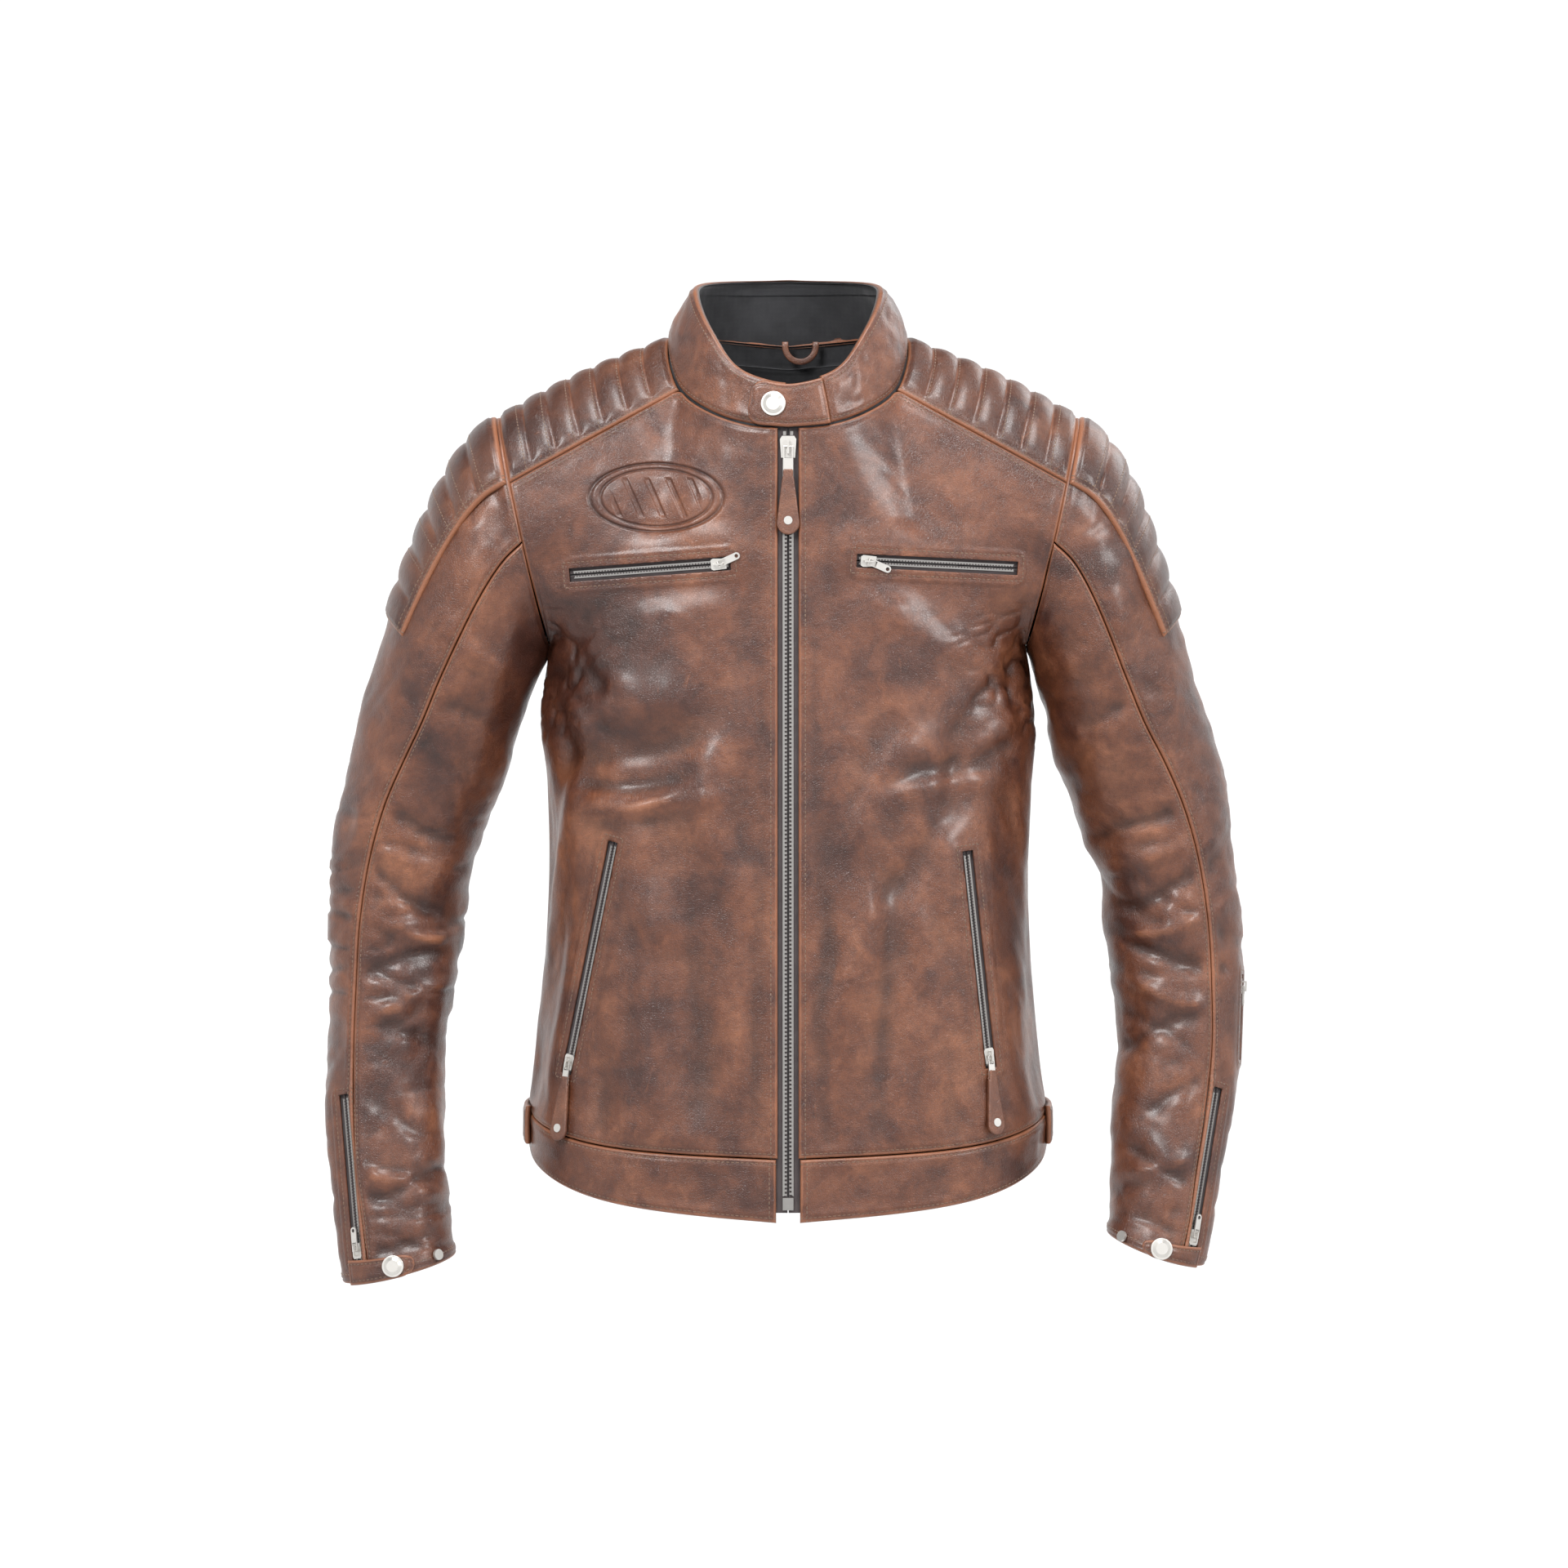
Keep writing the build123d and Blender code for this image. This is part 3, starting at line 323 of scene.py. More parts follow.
def find_front(side, x, z):
    """The point of a front panel at an x and a height, and its outward normal."""
    u, v = 0.5, 1.0
    for _ in range(40):
        here = front_point(side, u, v)
        du = front_point(side, u + 0.01, v)
        dv = front_point(side, u, v + 0.01)
        a, b = (du[0] - here[0]) * 100, (dv[0] - here[0]) * 100
        c, d = (du[2] - here[2]) * 100, (dv[2] - here[2]) * 100
        det = a * d - b * c
        ex, ez = x - here[0], z - here[2]
        u = min(max(u + 0.7 * (d * ex - b * ez) / det, 0.0), 0.98)
        v = min(max(v + 0.7 * (a * ez - c * ex) / det, 0.0), 1.98)
    here = front_point(side, u, v)
    across = vector(here, front_point(side, u + 0.01, v))
    upward = vector(here, front_point(side, u, v + 0.01))
    normal = across.cross(upward).normalized()
    return here, normal if normal.y < 0 else -normal


def find_sleeve(side, ring, angle):
    """The point of a sleeve at a ring and an angle, and its outward normal."""
    here = sleeve_point(side, ring, angle)
    round_it = vector(here, sleeve_point(side, ring, angle + 1))
    down = vector(here, sleeve_point(side, ring + 0.05, angle))
    normal = round_it.cross(down).normalized()
    outward = vector(sleeve_frame(side, ring)[0], here)
    return here, normal if normal.dot(outward) > 0 else -normal


class ZipPlane:
    """Plane of a straight zip: y from its closed end to its far end, z out of the jacket."""

    def __init__(self, closed, far, normal):
        run = vector(closed, far)
        self.origin = Vector(closed)
        self.length = run.length
        self.y = run.normalized()
        self.x = self.y.cross(normal).normalized()
        self.z = self.x.cross(self.y)

    def local(self, points):
        away = points - np.array(self.origin)
        return away @ np.array([self.x, self.y, self.z]).T

    def parts(self, place):
        """A mesh point in this plane's own x, y and z, in mm."""
        away = place / MM - self.origin
        return away.dot(self.x), away.dot(self.y), away.dot(self.z)

    def world(self, x, y, z):
        return self.origin + self.x * x + self.y * y + self.z * z


def straight_zip(closed_end, far_end):
    """A zip between two ends, each a point and its outward normal."""
    return ZipPlane(closed_end[0], far_end[0], closed_end[1] + far_end[1])


main_ends = [(0, front_line(z), z) for z in MAIN_ZIP]
ZIPS = {"main": ZipPlane(*main_ends, Vector((0, -1, 0)))}
for side, hand in HANDS:
    ZIPS["chest_" + hand] = straight_zip(*[find_front(side, *end) for end in CHEST_ZIPS[side]])
    ZIPS["hand_" + hand] = straight_zip(*[find_front(side, *end) for end in HAND_ZIPS[side]])
    ZIPS["cuff_" + hand] = straight_zip(*[find_sleeve(side, *end) for end in CUFF_ZIPS[side]])
ZIPS["sleeve_pocket"] = straight_zip(*[find_sleeve(1, *end) for end in POCKET_ZIP])
FLAT_NEAR = 6.0
FLAT_REACH = 34.0


def flatten(points, names):
    """Move surface points towards the plane of any zip that is close to them."""
    for name in names:
        zip_plane = ZIPS[name]
        local = zip_plane.local(points)
        beyond = np.maximum(0, np.maximum(-local[..., 1], local[..., 1] - zip_plane.length))
        away = np.sqrt(local[..., 0] ** 2 + beyond ** 2)
        weight = 1 - smooth(FLAT_NEAR, FLAT_REACH, away)
        weight = np.where(np.abs(local[..., 2]) < FLAT_REACH, weight, 0)
        points = points - (weight * local[..., 2])[..., None] * np.array(zip_plane.z)
    return points


# ---------------------------------------------------------------- grids
def evaluate(point, us, vs):
    return np.array([[point(u, v) for u in us] for v in vs], dtype=float)


def cubic_weights(count, places):
    """Rows of Catmull-Rom weights that read a row of evenly spaced values at any place."""
    matrix = np.zeros((len(places), count))
    for row, place in enumerate(places):
        x = min(max(place, 0.0), 1.0) * (count - 1)
        i = min(int(x), count - 2)
        t = x - i
        weights = (-0.5 * t + t * t - 0.5 * t ** 3, 1 - 2.5 * t * t + 1.5 * t ** 3,
                   0.5 * t + 2 * t * t - 1.5 * t ** 3, -0.5 * t * t + 0.5 * t ** 3)
        for k, weight in enumerate(weights):
            j = i - 1 + k
            if j < 0:
                matrix[row, 0] += 2 * weight
                matrix[row, 1] -= weight
            elif j > count - 1:
                matrix[row, count - 1] += 2 * weight
                matrix[row, count - 2] -= weight
            else:
                matrix[row, j] += weight
    return matrix


def refine(grid, us, vs):
    """Read a coarse grid at finer places, each from 0 to 1."""
    across = cubic_weights(grid.shape[1], us)
    upward = cubic_weights(grid.shape[0], vs)
    return np.einsum("ai,bj,ij...->ab...", upward, across, grid)


def grid_normals(grid, inner):
    """Unit normals of a grid, pointing away from an inner point."""
    across = np.gradient(grid, axis=1)
    upward = np.gradient(grid, axis=0)
    normals = np.cross(across, upward)
    normals /= np.maximum(np.linalg.norm(normals, axis=-1, keepdims=True), 1e-9)
    j, i = grid.shape[0] // 2, grid.shape[1] // 2
    if np.dot(normals[j, i], grid[j, i] - np.array(inner)) < 0:
        normals = -normals
    return normals


def distances(grid):
    """Distance in mm of each grid point from the left, right, bottom and top edges."""
    step = np.linalg.norm(np.diff(grid, axis=1), axis=-1)
    left = np.concatenate([np.zeros((grid.shape[0], 1)), np.cumsum(step, axis=1)], axis=1)
    step = np.linalg.norm(np.diff(grid, axis=0), axis=-1)
    bottom = np.concatenate([np.zeros((1, grid.shape[1])), np.cumsum(step, axis=0)], axis=0)
    return left, left[:, -1:] - left, bottom, bottom[-1:, :] - bottom


EDGE_STEPS = [0.0, 0.35, 0.8, 1.4, 2.2, 3.2, 4.6, 6.4]


def edge_places(length, spacing):
    """Places from 0 to 1 along a length in mm: close together at both ends, even between."""
    last = EDGE_STEPS[-1]
    middle = np.arange(last + spacing, length - last - spacing * 0.5, spacing)
    places = EDGE_STEPS + list(middle) + [length - p for p in reversed(EDGE_STEPS)]
    return [p / length for p in places]


def blurred(values, reach=4):
    """Values averaged over a few neighbours each way."""
    total = values
    for axis in (0, 1):
        pad = [(reach, reach) if k == axis else (0, 0) for k in (0, 1)]
        wide = np.pad(total, pad, mode="edge")
        total = sum(np.roll(wide, k, axis) for k in range(-reach, reach + 1)) / (2 * reach + 1)
        keep = [slice(reach, -reach) if k == axis else slice(None) for k in (0, 1)]
        total = total[tuple(keep)]
    return total


# ---------------------------------------------------------------- folds and wrinkles
def waves(points, size, count, seed):
    """Smooth irregular field between about -1 and 1, made of warped plane waves of a size in mm."""
    pick = np.random.default_rng(seed)
    field = np.zeros(points.shape[:-1])
    bend = np.zeros(points.shape[:-1])
    for k in range(count):
        turn = pick.normal(size=3)
        turn /= np.linalg.norm(turn)
        phase = pick.uniform(0, 2 * pi)
        bend = np.sin(points @ turn * (2 * pi / (size * pick.uniform(1.3, 2.6))) + phase + bend)
        turn = pick.normal(size=3)
        turn /= np.linalg.norm(turn)
        field += np.sin(points @ turn * (2 * pi / (size * pick.uniform(0.7, 1.5))) + phase + 1.6 * bend)
    return field / sqrt(count)


def creases(points, size, seed):
    """Thin sunken lines between soft cushions, from 0 in a crease to 1 on a cushion."""
    return np.minimum(np.abs(waves(points, size, 5, seed)) * 1.4, 1.0)


def fold(points, start, end, width, depth):
    """A ridge (or a dip, if depth is below 0) along a line seen from the front, x and z in mm."""
    a = np.array(start, float)
    b = np.array(end, float)
    run = b - a
    length = np.linalg.norm(run)
    run /= length
    flat = points[..., (0, 2)] - a
    along = flat @ run
    off = flat @ np.array([-run[1], run[0]])
    off = off + width * 0.35 * np.sin(along / length * 5.0 + start[0])
    ends = smooth(-0.1, 0.25, along / length) * (1 - smooth(0.75, 1.1, along / length))
    steep = np.where(off > 0, 1.0, 1.6)
    return depth * ends * np.exp(-(off * steep / width) ** 2)


# Folds of the front: start (x, z), end (x, z), width, depth
BODY_FOLDS = [
    ((-172, -330), (-58, -282), 20, -7.0), ((-166, -296), (-70, -252), 20, 3.6),
    ((-70, -290), (-28, -430), 20, 5.0), ((-176, -236), (-172, -325), 12, -7.5),
    ((176, -236), (172, -300), 12, -6.0), ((100, -285), (40, -380), 18, 4.5),
    ((140, -300), (70, -420), 18, -4.5), ((-120, -350), (-100, -450), 22, 4.0),
    ((-128, -255), (-176, -232), 14, -4.5), ((60, -400), (30, -520), 18, 3.6),
    ((-165, -338), (-62, -318), 11, -4.5), ((-158, -352), (-70, -334), 12, 3.5),
    ((-40, -330), (-128, -356), 9, 2.2), ((-30, -395), (-40, -560), 18, 3.5),
    ((-62, -400), (-72, -580), 15, -3.0), ((-95, -390), (-104, -585), 16, 3.5),
    ((-24, -440), (-28, -600), 9, -2.2), ((-150, -460), (-140, -590), 12, -2.0),
    ((-178, -250), (-120, -300), 10, -3.0), ((-180, -235), (-110, -262), 9, 2.2),
    ((176, -240), (110, -300), 11, -3.2), ((180, -262), (125, -330), 10, 2.8),
    ((172, -300), (80, -322), 11, -2.6), ((168, -322), (60, -342), 10, 2.4),
    ((34, -380), (46, -570), 16, 3.2), ((66, -370), (74, -590), 14, -3.0),
    ((96, -390), (108, -585), 15, 3.0), ((24, -430), (26, -600), 9, -2.0),
    ((150, -420), (158, -570), 13, -2.2), ((60, -210), (140, -232), 14, 1.6)]
SLEEVE_FOLDS = {
    -1: [((-322, -392), (-246, -436), 9, -4.5), ((-332, -420), (-250, -462), 8, 3.8),
         ((-246, -452), (-330, -478), 8, -4.2), ((-252, -480), (-322, -512), 8, 3.4),
         ((-318, -505), (-250, -535), 7, -3.0), ((-236, -380), (-300, -350), 9, -3.5),
         ((-240, -404), (-326, -380), 8, 3.0), ((-250, -618), (-322, -640), 7, -3.0),
         ((-252, -640), (-330, -612), 7, 2.6), ((-256, -664), (-318, -676), 6, -2.4),
         ((-214, -290), (-286, -262), 10, -2.8), ((-205, -255), (-262, -200), 11, 2.4),
         ((-320, -330), (-290, -450), 12, 2.4), ((-330, -560), (-268, -590), 8, -2.2)],
    1: [((322, -392), (238, -430), 9, -4.5), ((330, -420), (242, -456), 8, 3.8),
        ((238, -446), (326, -474), 8, -4.2), ((244, -474), (318, -504), 8, 3.4),
        ((314, -500), (244, -528), 7, -3.0), ((230, -376), (296, -346), 9, -3.5),
        ((234, -398), (322, -376), 8, 3.0), ((243, -600), (308, -628), 7, -3.0),
        ((242, -628), (314, -602), 7, 2.6), ((242, -650), (304, -664), 6, -2.4),
        ((208, -288), (278, -262), 10, -2.8), ((200, -255), (258, -200), 11, 2.4),
        ((312, -330), (284, -450), 12, 2.4), ((326, -545), (256, -578), 8, -2.2)]}


def body_relief(points, normals):
    lower = 1 - smooth(-330, -220, points[..., 2])
    height = 2.1 * waves(points * (1, 1, 0.42), 80, 6, 11) * (0.45 + 0.55 * lower)
    height += 0.35 * waves(points * (1, 1, 0.7), 26, 6, 12)
    front = smooth(0.1, 0.6, -normals[..., 1])
    for start, end, width, depth in BODY_FOLDS:
        height += front * fold(points, start, end, width, depth)
    armpit = np.exp(-((points[..., 2] + 250) / 46) ** 2) * smooth(105, 175, np.abs(points[..., 0]))
    height -= armpit * 2.6 * (1 - creases(points * (1, 1, 2.2), 44, 13))
    back = smooth(0.1, 0.6, normals[..., 1])
    height += back * 1.7 * waves(points * (1.2, 1, 0.5), 96, 5, 14)
    return height


def crumple(depth, size, count, seed, stretch=(1, 1, 1)):
    """A relief made of one irregular field."""
    return lambda points, normals: depth * waves(points * stretch, size, count, seed)


def sleeve_relief(side):
    def relief(points, normals):
        elbow = np.exp(-((points[..., 2] + 455) / 95) ** 2)
        wrist = np.exp(-((points[..., 2] + 655) / 46) ** 2)
        height = 1.1 * waves(points * (1, 1, 0.6), 62, 6, 21 + side)
        height += 0.3 * waves(points, 24, 6, 23 + side)
        wrinkled = elbow + 0.8 * wrist
        height -= 2.6 * wrinkled * (1 - creases(points * (0.5, 0.5, 1.5), 62, 25 + side))
        front = smooth(-0.1, 0.5, -normals[..., 1])
        for start, end, width, depth in SLEEVE_FOLDS[side]:
            height += front * fold(points, start, end, width, depth)
        return height
    return relief


# ---------------------------------------------------------------- panels
LEATHER = 1.5
EDGE_DROP = 0.9
BORDER_FACES = 9
panels = {}


def zip_relief(grid, zips):
    """Raised lips and sunken lines beside zips, and a share that fades other relief near them."""
    raised = np.zeros(grid.shape[:2])
    away_share = np.ones(grid.shape[:2])
    for name in zips:
        local = ZIPS[name].local(grid)
        opening = FRONT_GAP if name == "main" else ZIP_OPENING
        beyond = np.maximum(0, np.maximum(-local[..., 1], local[..., 1] - ZIPS[name].length))
        off = np.sqrt(np.maximum(0, np.abs(local[..., 0]) - opening) ** 2 + beyond ** 2)
        away_share = np.minimum(away_share, smooth(6, 30, off))
        raised += 0.7 * (1 - smooth(0, 1.4, np.abs(off - 4.0) - 3.6))
        raised -= 0.5 * np.exp(-((off - 4.4) / 0.7) ** 2)
    return raised, away_share


def sheet_faces(rows, columns, flip):
    """Faces of a sheet's outside, of a border of its underside, and of the rim between them."""
    index = np.arange(rows * columns).reshape(rows, columns)
    below = rows * columns
    corners = np.stack([index[:-1, :-1], index[:-1, 1:], index[1:, 1:], index[1:, :-1]], axis=-1)
    hidden = np.zeros((rows - 1, columns - 1), bool)
    hidden[BORDER_FACES:-BORDER_FACES, BORDER_FACES:-BORDER_FACES] = True
    ring = np.concatenate([index[0, :], index[1:, -1], index[-1, -2::-1], index[-2:0:-1, 0]])
    after = np.roll(ring, -1)
    rim = np.stack([ring + below, after + below, after, ring], axis=-1)
    faces = np.concatenate([corners.reshape(-1, 4), corners[~hidden][:, ::-1] + below, rim])
    return (faces[:, ::-1] if flip else faces).tolist()


def wear_and_shade(lift, near, ribbed):
    """How rubbed and how dark each grid point is, from 0 to 1. On ribbed panels the dark is the puffs' own
    darker tone; on other panels it is painted shade in the hollows of folds and creases.
    """
    rubbed_edge = np.exp(-(near / 2.4) ** 2)
    if ribbed:
        dark = np.clip((lift - lift.min()) / (lift.max() - lift.min()) * 0.55, 0, 1)
        return np.clip(rubbed_edge * 0.6 + (0.40 - dark) * 2.4, 0, 1), dark
    proud = lift - blurred(lift)
    worn = np.clip(rubbed_edge * 0.75 + np.maximum(proud, 0) * 0.22, 0, 1)
    # Painted shade: colour is darkened in the hollows of folds and creases, where the surface lies below its
    # blurred average.
    return worn, np.clip(np.maximum(-proud, 0) * 0.55, 0, 0.8)


def drop_loose(mesh):
    """Delete vertices that no face uses."""
    bm = bmesh.new()
    bm.from_mesh(mesh)
    loose = [v for v in bm.verts if not v.link_faces]
    bmesh.ops.delete(bm, geom=loose, context="VERTS")
    bm.to_mesh(mesh)
    bm.free()


class Panel:
    """A sewn sheet of leather or cloth, finely meshed, with its edges turned in."""

    def __init__(self, name, point, vs_end, inner, zips=(), relief=None, roll=2.2, puff=0.0,
                 ribs=None, spacing=2.4, thick=LEATHER, coarse=(31, 45), smoothing=0.0):
        rough = evaluate(point, np.linspace(0, 1, coarse[0]), np.linspace(0, vs_end, coarse[1]))
        left, _, bottom, _ = distances(rough)
        width = left[:, -1].max()
        height = bottom[-1, :].max()
        fine = refine(rough, edge_places(width, spacing), edge_places(height, spacing))
        near = np.minimum.reduce(distances(fine))
        soft = np.stack([blurred(blurred(fine[..., k])) for k in range(3)], axis=-1)
        fine = fine + (soft - fine) * (smoothing * smooth(4, 26, near))[..., None]
        fine = flatten(fine, zips)
        normals = grid_normals(fine, inner)
        self.edges = distances(fine)
        near = np.minimum.reduce(self.edges)
        lift, away_share = zip_relief(fine, zips)
        if relief is not None:
            lift = lift + relief(fine, normals) * away_share * smooth(0, 16, near)
        if ribs is not None:
            lift = lift + ribs(self.edges, near)
        lift = lift + puff * smooth(0, 14, near)
        seam = 0.45 * np.exp(-((near - 5.2) / 2.6) ** 2)
        lift = lift + seam - 0.55 * np.exp(-((near - 3.1) / 0.6) ** 2)
        turned = np.clip((roll - near) / roll, 0, 1)
        lift = lift - EDGE_DROP * roll * (1 - np.sqrt(np.maximum(1 - turned ** 2, 0)))
        self.grid = fine + lift[..., None] * normals
        outer = self.grid.reshape(-1, 3)
        under = (self.grid - normals * thick).reshape(-1, 3)
        upward, across = self.grid[1, 0] - self.grid[0, 0], self.grid[0, 1] - self.grid[0, 0]
        flip = np.dot(np.cross(upward, across), normals[0, 0]) > 0
        mesh = bpy.data.meshes.new(name)
        mesh.from_pydata((np.vstack([outer, under]) * MM).tolist(), [], sheet_faces(*near.shape, flip))
        mesh.validate()
        # The second attribute holds painted shade in fold hollows, and on quilted panels the puffs' own
        # darker tone.
        for key, values in zip(("wear", "tone_and_painted_shade"), wear_and_shade(lift, near, ribs is not None)):
            attribute = mesh.attributes.new(key, "FLOAT", "POINT")
            attribute.data.foreach_set("value", np.tile(values.ravel(), 2).astype(np.float32))
        self.object = placed(name + "_skin", mesh)
        for zip_name in zips:
            if zip_name != "main":
                open_slot(self.object, ZIPS[zip_name])
        drop_loose(mesh)
        mesh.shade_smooth()
        panels[name] = self

    def offset_line(self, edge, away, start=0.0, end=1.0):
        """Points on the panel at a distance in mm from one of its edges."""
        far = self.edges[("left", "right", "bottom", "top").index(edge)]
        if edge in ("left", "right"):
            lines = [(far[j], self.grid[j]) for j in range(far.shape[0])]
        else:
            lines = [(far[:, i], self.grid[:, i]) for i in range(far.shape[1])]
        found = []
        for values, places in lines[int(start * len(lines)):max(int(end * len(lines)), 2)]:
            order = np.argsort(values)
            found.append([np.interp(away, values[order], places[order, k]) for k in range(3)])
        return np.array(found)


SLOT_REACH = 12
SLOT_SPARE = 7.0
SLOT_RIM = 1.7


def open_slot(thing, zip_plane):
    """Cut a zip's straight opening in a panel and turn its edges down."""
    bm = bmesh.new()
    bm.from_mesh(thing.data)
    half, length = ZIP_OPENING, zip_plane.length
    end = half * 0.4

    def inside(place, side_reach, end_reach):
        across, along, up = zip_plane.parts(place)
        return (abs(across) < side_reach and -end_reach < along < length + end_reach
                and abs(up) < SLOT_REACH)

    cuts = ((half, 0, zip_plane.x), (-half, 0, zip_plane.x),
            (0, -end, zip_plane.y), (0, length + end, zip_plane.y))
    for across, along, direction in cuts:
        near = [face for face in bm.faces
                if inside(face.calc_center_median(), half + SLOT_SPARE, half + SLOT_SPARE)]
        geometry = near + list({e for f in near for e in f.edges}) + list({v for f in near for v in f.verts})
        place = zip_plane.world(across, along, 0) * MM
        bmesh.ops.bisect_plane(bm, geom=geometry, dist=1e-7, plane_co=place, plane_no=direction)
    gone = [face for face in bm.faces if inside(face.calc_center_median(), half, end)]
    bmesh.ops.delete(bm, geom=gone, context="FACES")
    rim = [edge for edge in bm.edges if edge.is_boundary
           and inside((edge.verts[0].co + edge.verts[1].co) / 2, half + 0.2, half)]
    made = bmesh.ops.extrude_edge_only(bm, edges=rim)["geom"]
    for v in made:
        if isinstance(v, bmesh.types.BMVert):
            v.co -= zip_plane.z * SLOT_RIM * MM
    bm.to_mesh(thing.data)
    bm.free()


# ---------------------------------------------------------------- stitches
def tube_faces(base, rings, sides):
    """Faces along a tube of rings of vertices, closed at both ends."""
    faces = []
    for first in range(base, base + (rings - 1) * sides, sides):
        for m in range(sides):
            a, b = first + m, first + (m + 1) % sides
            faces.append((a, b, b + sides, a + sides))
    faces.append(tuple(base + m for m in reversed(range(sides))))
    faces.append(tuple(base + (rings - 1) * sides + m for m in range(sides)))
    return faces


THREAD_RADIUS = 0.42
STITCH_LENGTH = 2.5
STITCH_PITCH = 3.5
STITCH_REACH = 12
STITCH_SIDES = 6
STITCH_RINGS = [(-0.5, 0.3), (-0.3, 0.9), (0.3, 0.9), (0.5, 0.3)]


def stitch_mesh(name, runs, panel_names):
    """Thread: one small rounded bar for each stitch along the runs, laid on the panels."""
    trees = []
    for panel_name in panel_names:
        mesh = panels[panel_name].object.data
        places = [v.co / MM for v in mesh.vertices]
        trees.append(BVHTree.FromPolygons(places, [tuple(f.vertices) for f in mesh.polygons]))
    vertices, faces = [], []
    for run in runs:
        run = np.array(run, float)
        step = np.linalg.norm(np.diff(run, axis=0), axis=1)
        along = np.concatenate([[0], np.cumsum(step)])
        for k in range(int(along[-1] / STITCH_PITCH)):
            at = (k + 0.5) * STITCH_PITCH
            behind, here, ahead = [Vector([np.interp(at + off, along, run[:, m]) for m in range(3)])
                                   for off in (-1, 0, 1)]
            hits = [tree.find_nearest(here) for tree in trees]
            hits = [hit for hit in hits if hit[0] is not None]
            place, normal, _, away = min(hits, key=lambda hit: hit[3])
            if away > STITCH_REACH:
                continue
            run_way = ahead - behind
            run_way = (run_way - normal * run_way.dot(normal)).normalized()
            side_way = run_way.cross(normal)
            base = len(vertices)
            for share, wide in STITCH_RINGS:
                for m in range(STITCH_SIDES):
                    turn = m * pi / 3
                    offset = (side_way * cos(turn) * THREAD_RADIUS * wide
                              + normal * sin(turn) * THREAD_RADIUS * wide)
                    dip = (0.10 - 0.5 * (2 * share) ** 2) * THREAD_RADIUS
                    vertices.append((place + run_way * share * STITCH_LENGTH + offset + normal * dip) * MM)
            faces += tube_faces(base, len(STITCH_RINGS), STITCH_SIDES)
    mesh = bpy.data.meshes.new(name)
    mesh.from_pydata([tuple(v) for v in vertices], [], faces)
    mesh.shade_smooth()
    return placed(name, mesh)


def box_run(zip_plane, half, before, after):
    """Stitched rectangle round a zip."""
    low, high = -before, zip_plane.length + after
    corners = [(-half, low), (-half, high), (half, high), (half, low), (-half, low)]
    return [tuple(zip_plane.world(x, y, 0)) for x, y in corners]


# ---------------------------------------------------------------- the panels of the jacket
def band_point(low_angle, high_angle):
    def point(u, v):
        angle = wrapped(low_angle + (high_angle - low_angle) * u)
        low, high = read(HEM, abs(angle))[0], read(BAND_TOP, abs(angle))[0] - BAND_GAP
        return body_point(angle, low + (high - low) * v)
    return point


def puffed_ribs(count, height, sink, fade):
    """Puffed ribs across a panel, which fade out at its ends."""
    def lift(edges, near):
        left, right, bottom, top = edges
        place = bottom / np.maximum(bottom + top, 1)
        puff = np.abs(np.sin(pi * count * place)) ** 0.55
        return (height * puff - sink) * smooth(1, fade, np.minimum(left, right)) * smooth(0, 5, near)
    return lift


def collar_piece(inset, low, high):
    span = (COLLAR_LEFT_END, 360 + COLLAR_RIGHT_END)

    def point(u, v):
        angle = wrapped(span[0] + (span[1] - span[0]) * u)
        here = collar_point(angle, low + (high - low) * v)
        gap = Vector((0, COLLAR_MIDDLE_Y, here[2])) - Vector(here)
        return add(here, scaled(tuple(gap), inset / gap.length))
    return point


def collar_relief(points, normals):
    return 0.9 * waves(points, 58, 5, 31) + 0.35 * waves(points, 17, 5, 32)


def tab_point(u, v):
    angle = COLLAR_LEFT_END - SEAM_GAP + (TAB_END_ANGLE - COLLAR_LEFT_END) * u
    narrow = 0.30 * (1 - sqrt(max(0.0, 1 - (max(0.0, u - 0.82) / 0.18) ** 2)))
    here = collar_point(angle, 0.02 + narrow + (0.95 - 2 * narrow) * v)
    gap = Vector(here) - Vector((0, COLLAR_MIDDLE_Y, here[2]))
    return add(here, scaled(tuple(gap), TAB_LIFT / gap.length))


def rounded(point, u_round, share):
    """The same sheet with its far end rounded."""
    def shaped(u, v):
        over = max(0.0, u - u_round) / (1 - u_round)
        narrow = share * (1 - sqrt(max(0.0, 1 - over ** 2)))
        return point(u, narrow + (1 - 2 * narrow) * v)
    return shaped


def cuff_tab(side):
    def point(u, v):
        ring = 15.0 - 0.42 * v
        return sleeve_point(side, ring, 42 + 68 * u, -CUFF_TAB_LIFT)
    return rounded(point, 0.78, 0.42)


def waist_strap(side):
    def point(u, v):
        angle = 79 + 45 * u
        z = -604 + 29 * v
        here = Vector(body_point(side * angle, z))
        run = vector(here, body_point(side * (angle + 1), z))
        normal = run.cross(Vector((0, 0, 1))).normalized()
        normal = normal if normal.dot(here) > 0 else -normal
        return tuple(here + normal * STRAP_LIFT)
    return rounded(point, 0.84, 0.4)


def sleeve_seam(ring):
    return read(SLEEVE_SEAM, ring)[0]


def sleeve_outer(side):
    def point(u, v):
        ring = SLEEVE_END * v
        front = sleeve_seam(ring) - SEAM_GAP
        back = SLEEVE_BACK_SEAM + SEAM_GAP
        return sleeve_point(side, ring, back + (front - back) * u)
    return point


def sleeve_under(side):
    def point(u, v):
        ring = SLEEVE_END * v
        front = sleeve_seam(ring) + SEAM_GAP
        back = 360 + SLEEVE_BACK_SEAM - SEAM_GAP
        return sleeve_point(side, ring, front + (back - front) * u)
    return point


def sleeve_quilt(side):
    def point(u, v):
        ring = SLEEVE_QUILT_START + (SLEEVE_QUILT_END - SLEEVE_QUILT_START) * v
        wide = SLEEVE_QUILT_ANGLES[0] + (SLEEVE_QUILT_ANGLES[1] - SLEEVE_QUILT_ANGLES[0]) * v
        return sleeve_point(side, ring, wide * (1 - 2 * u), -QUILT_LIFT)
    return point


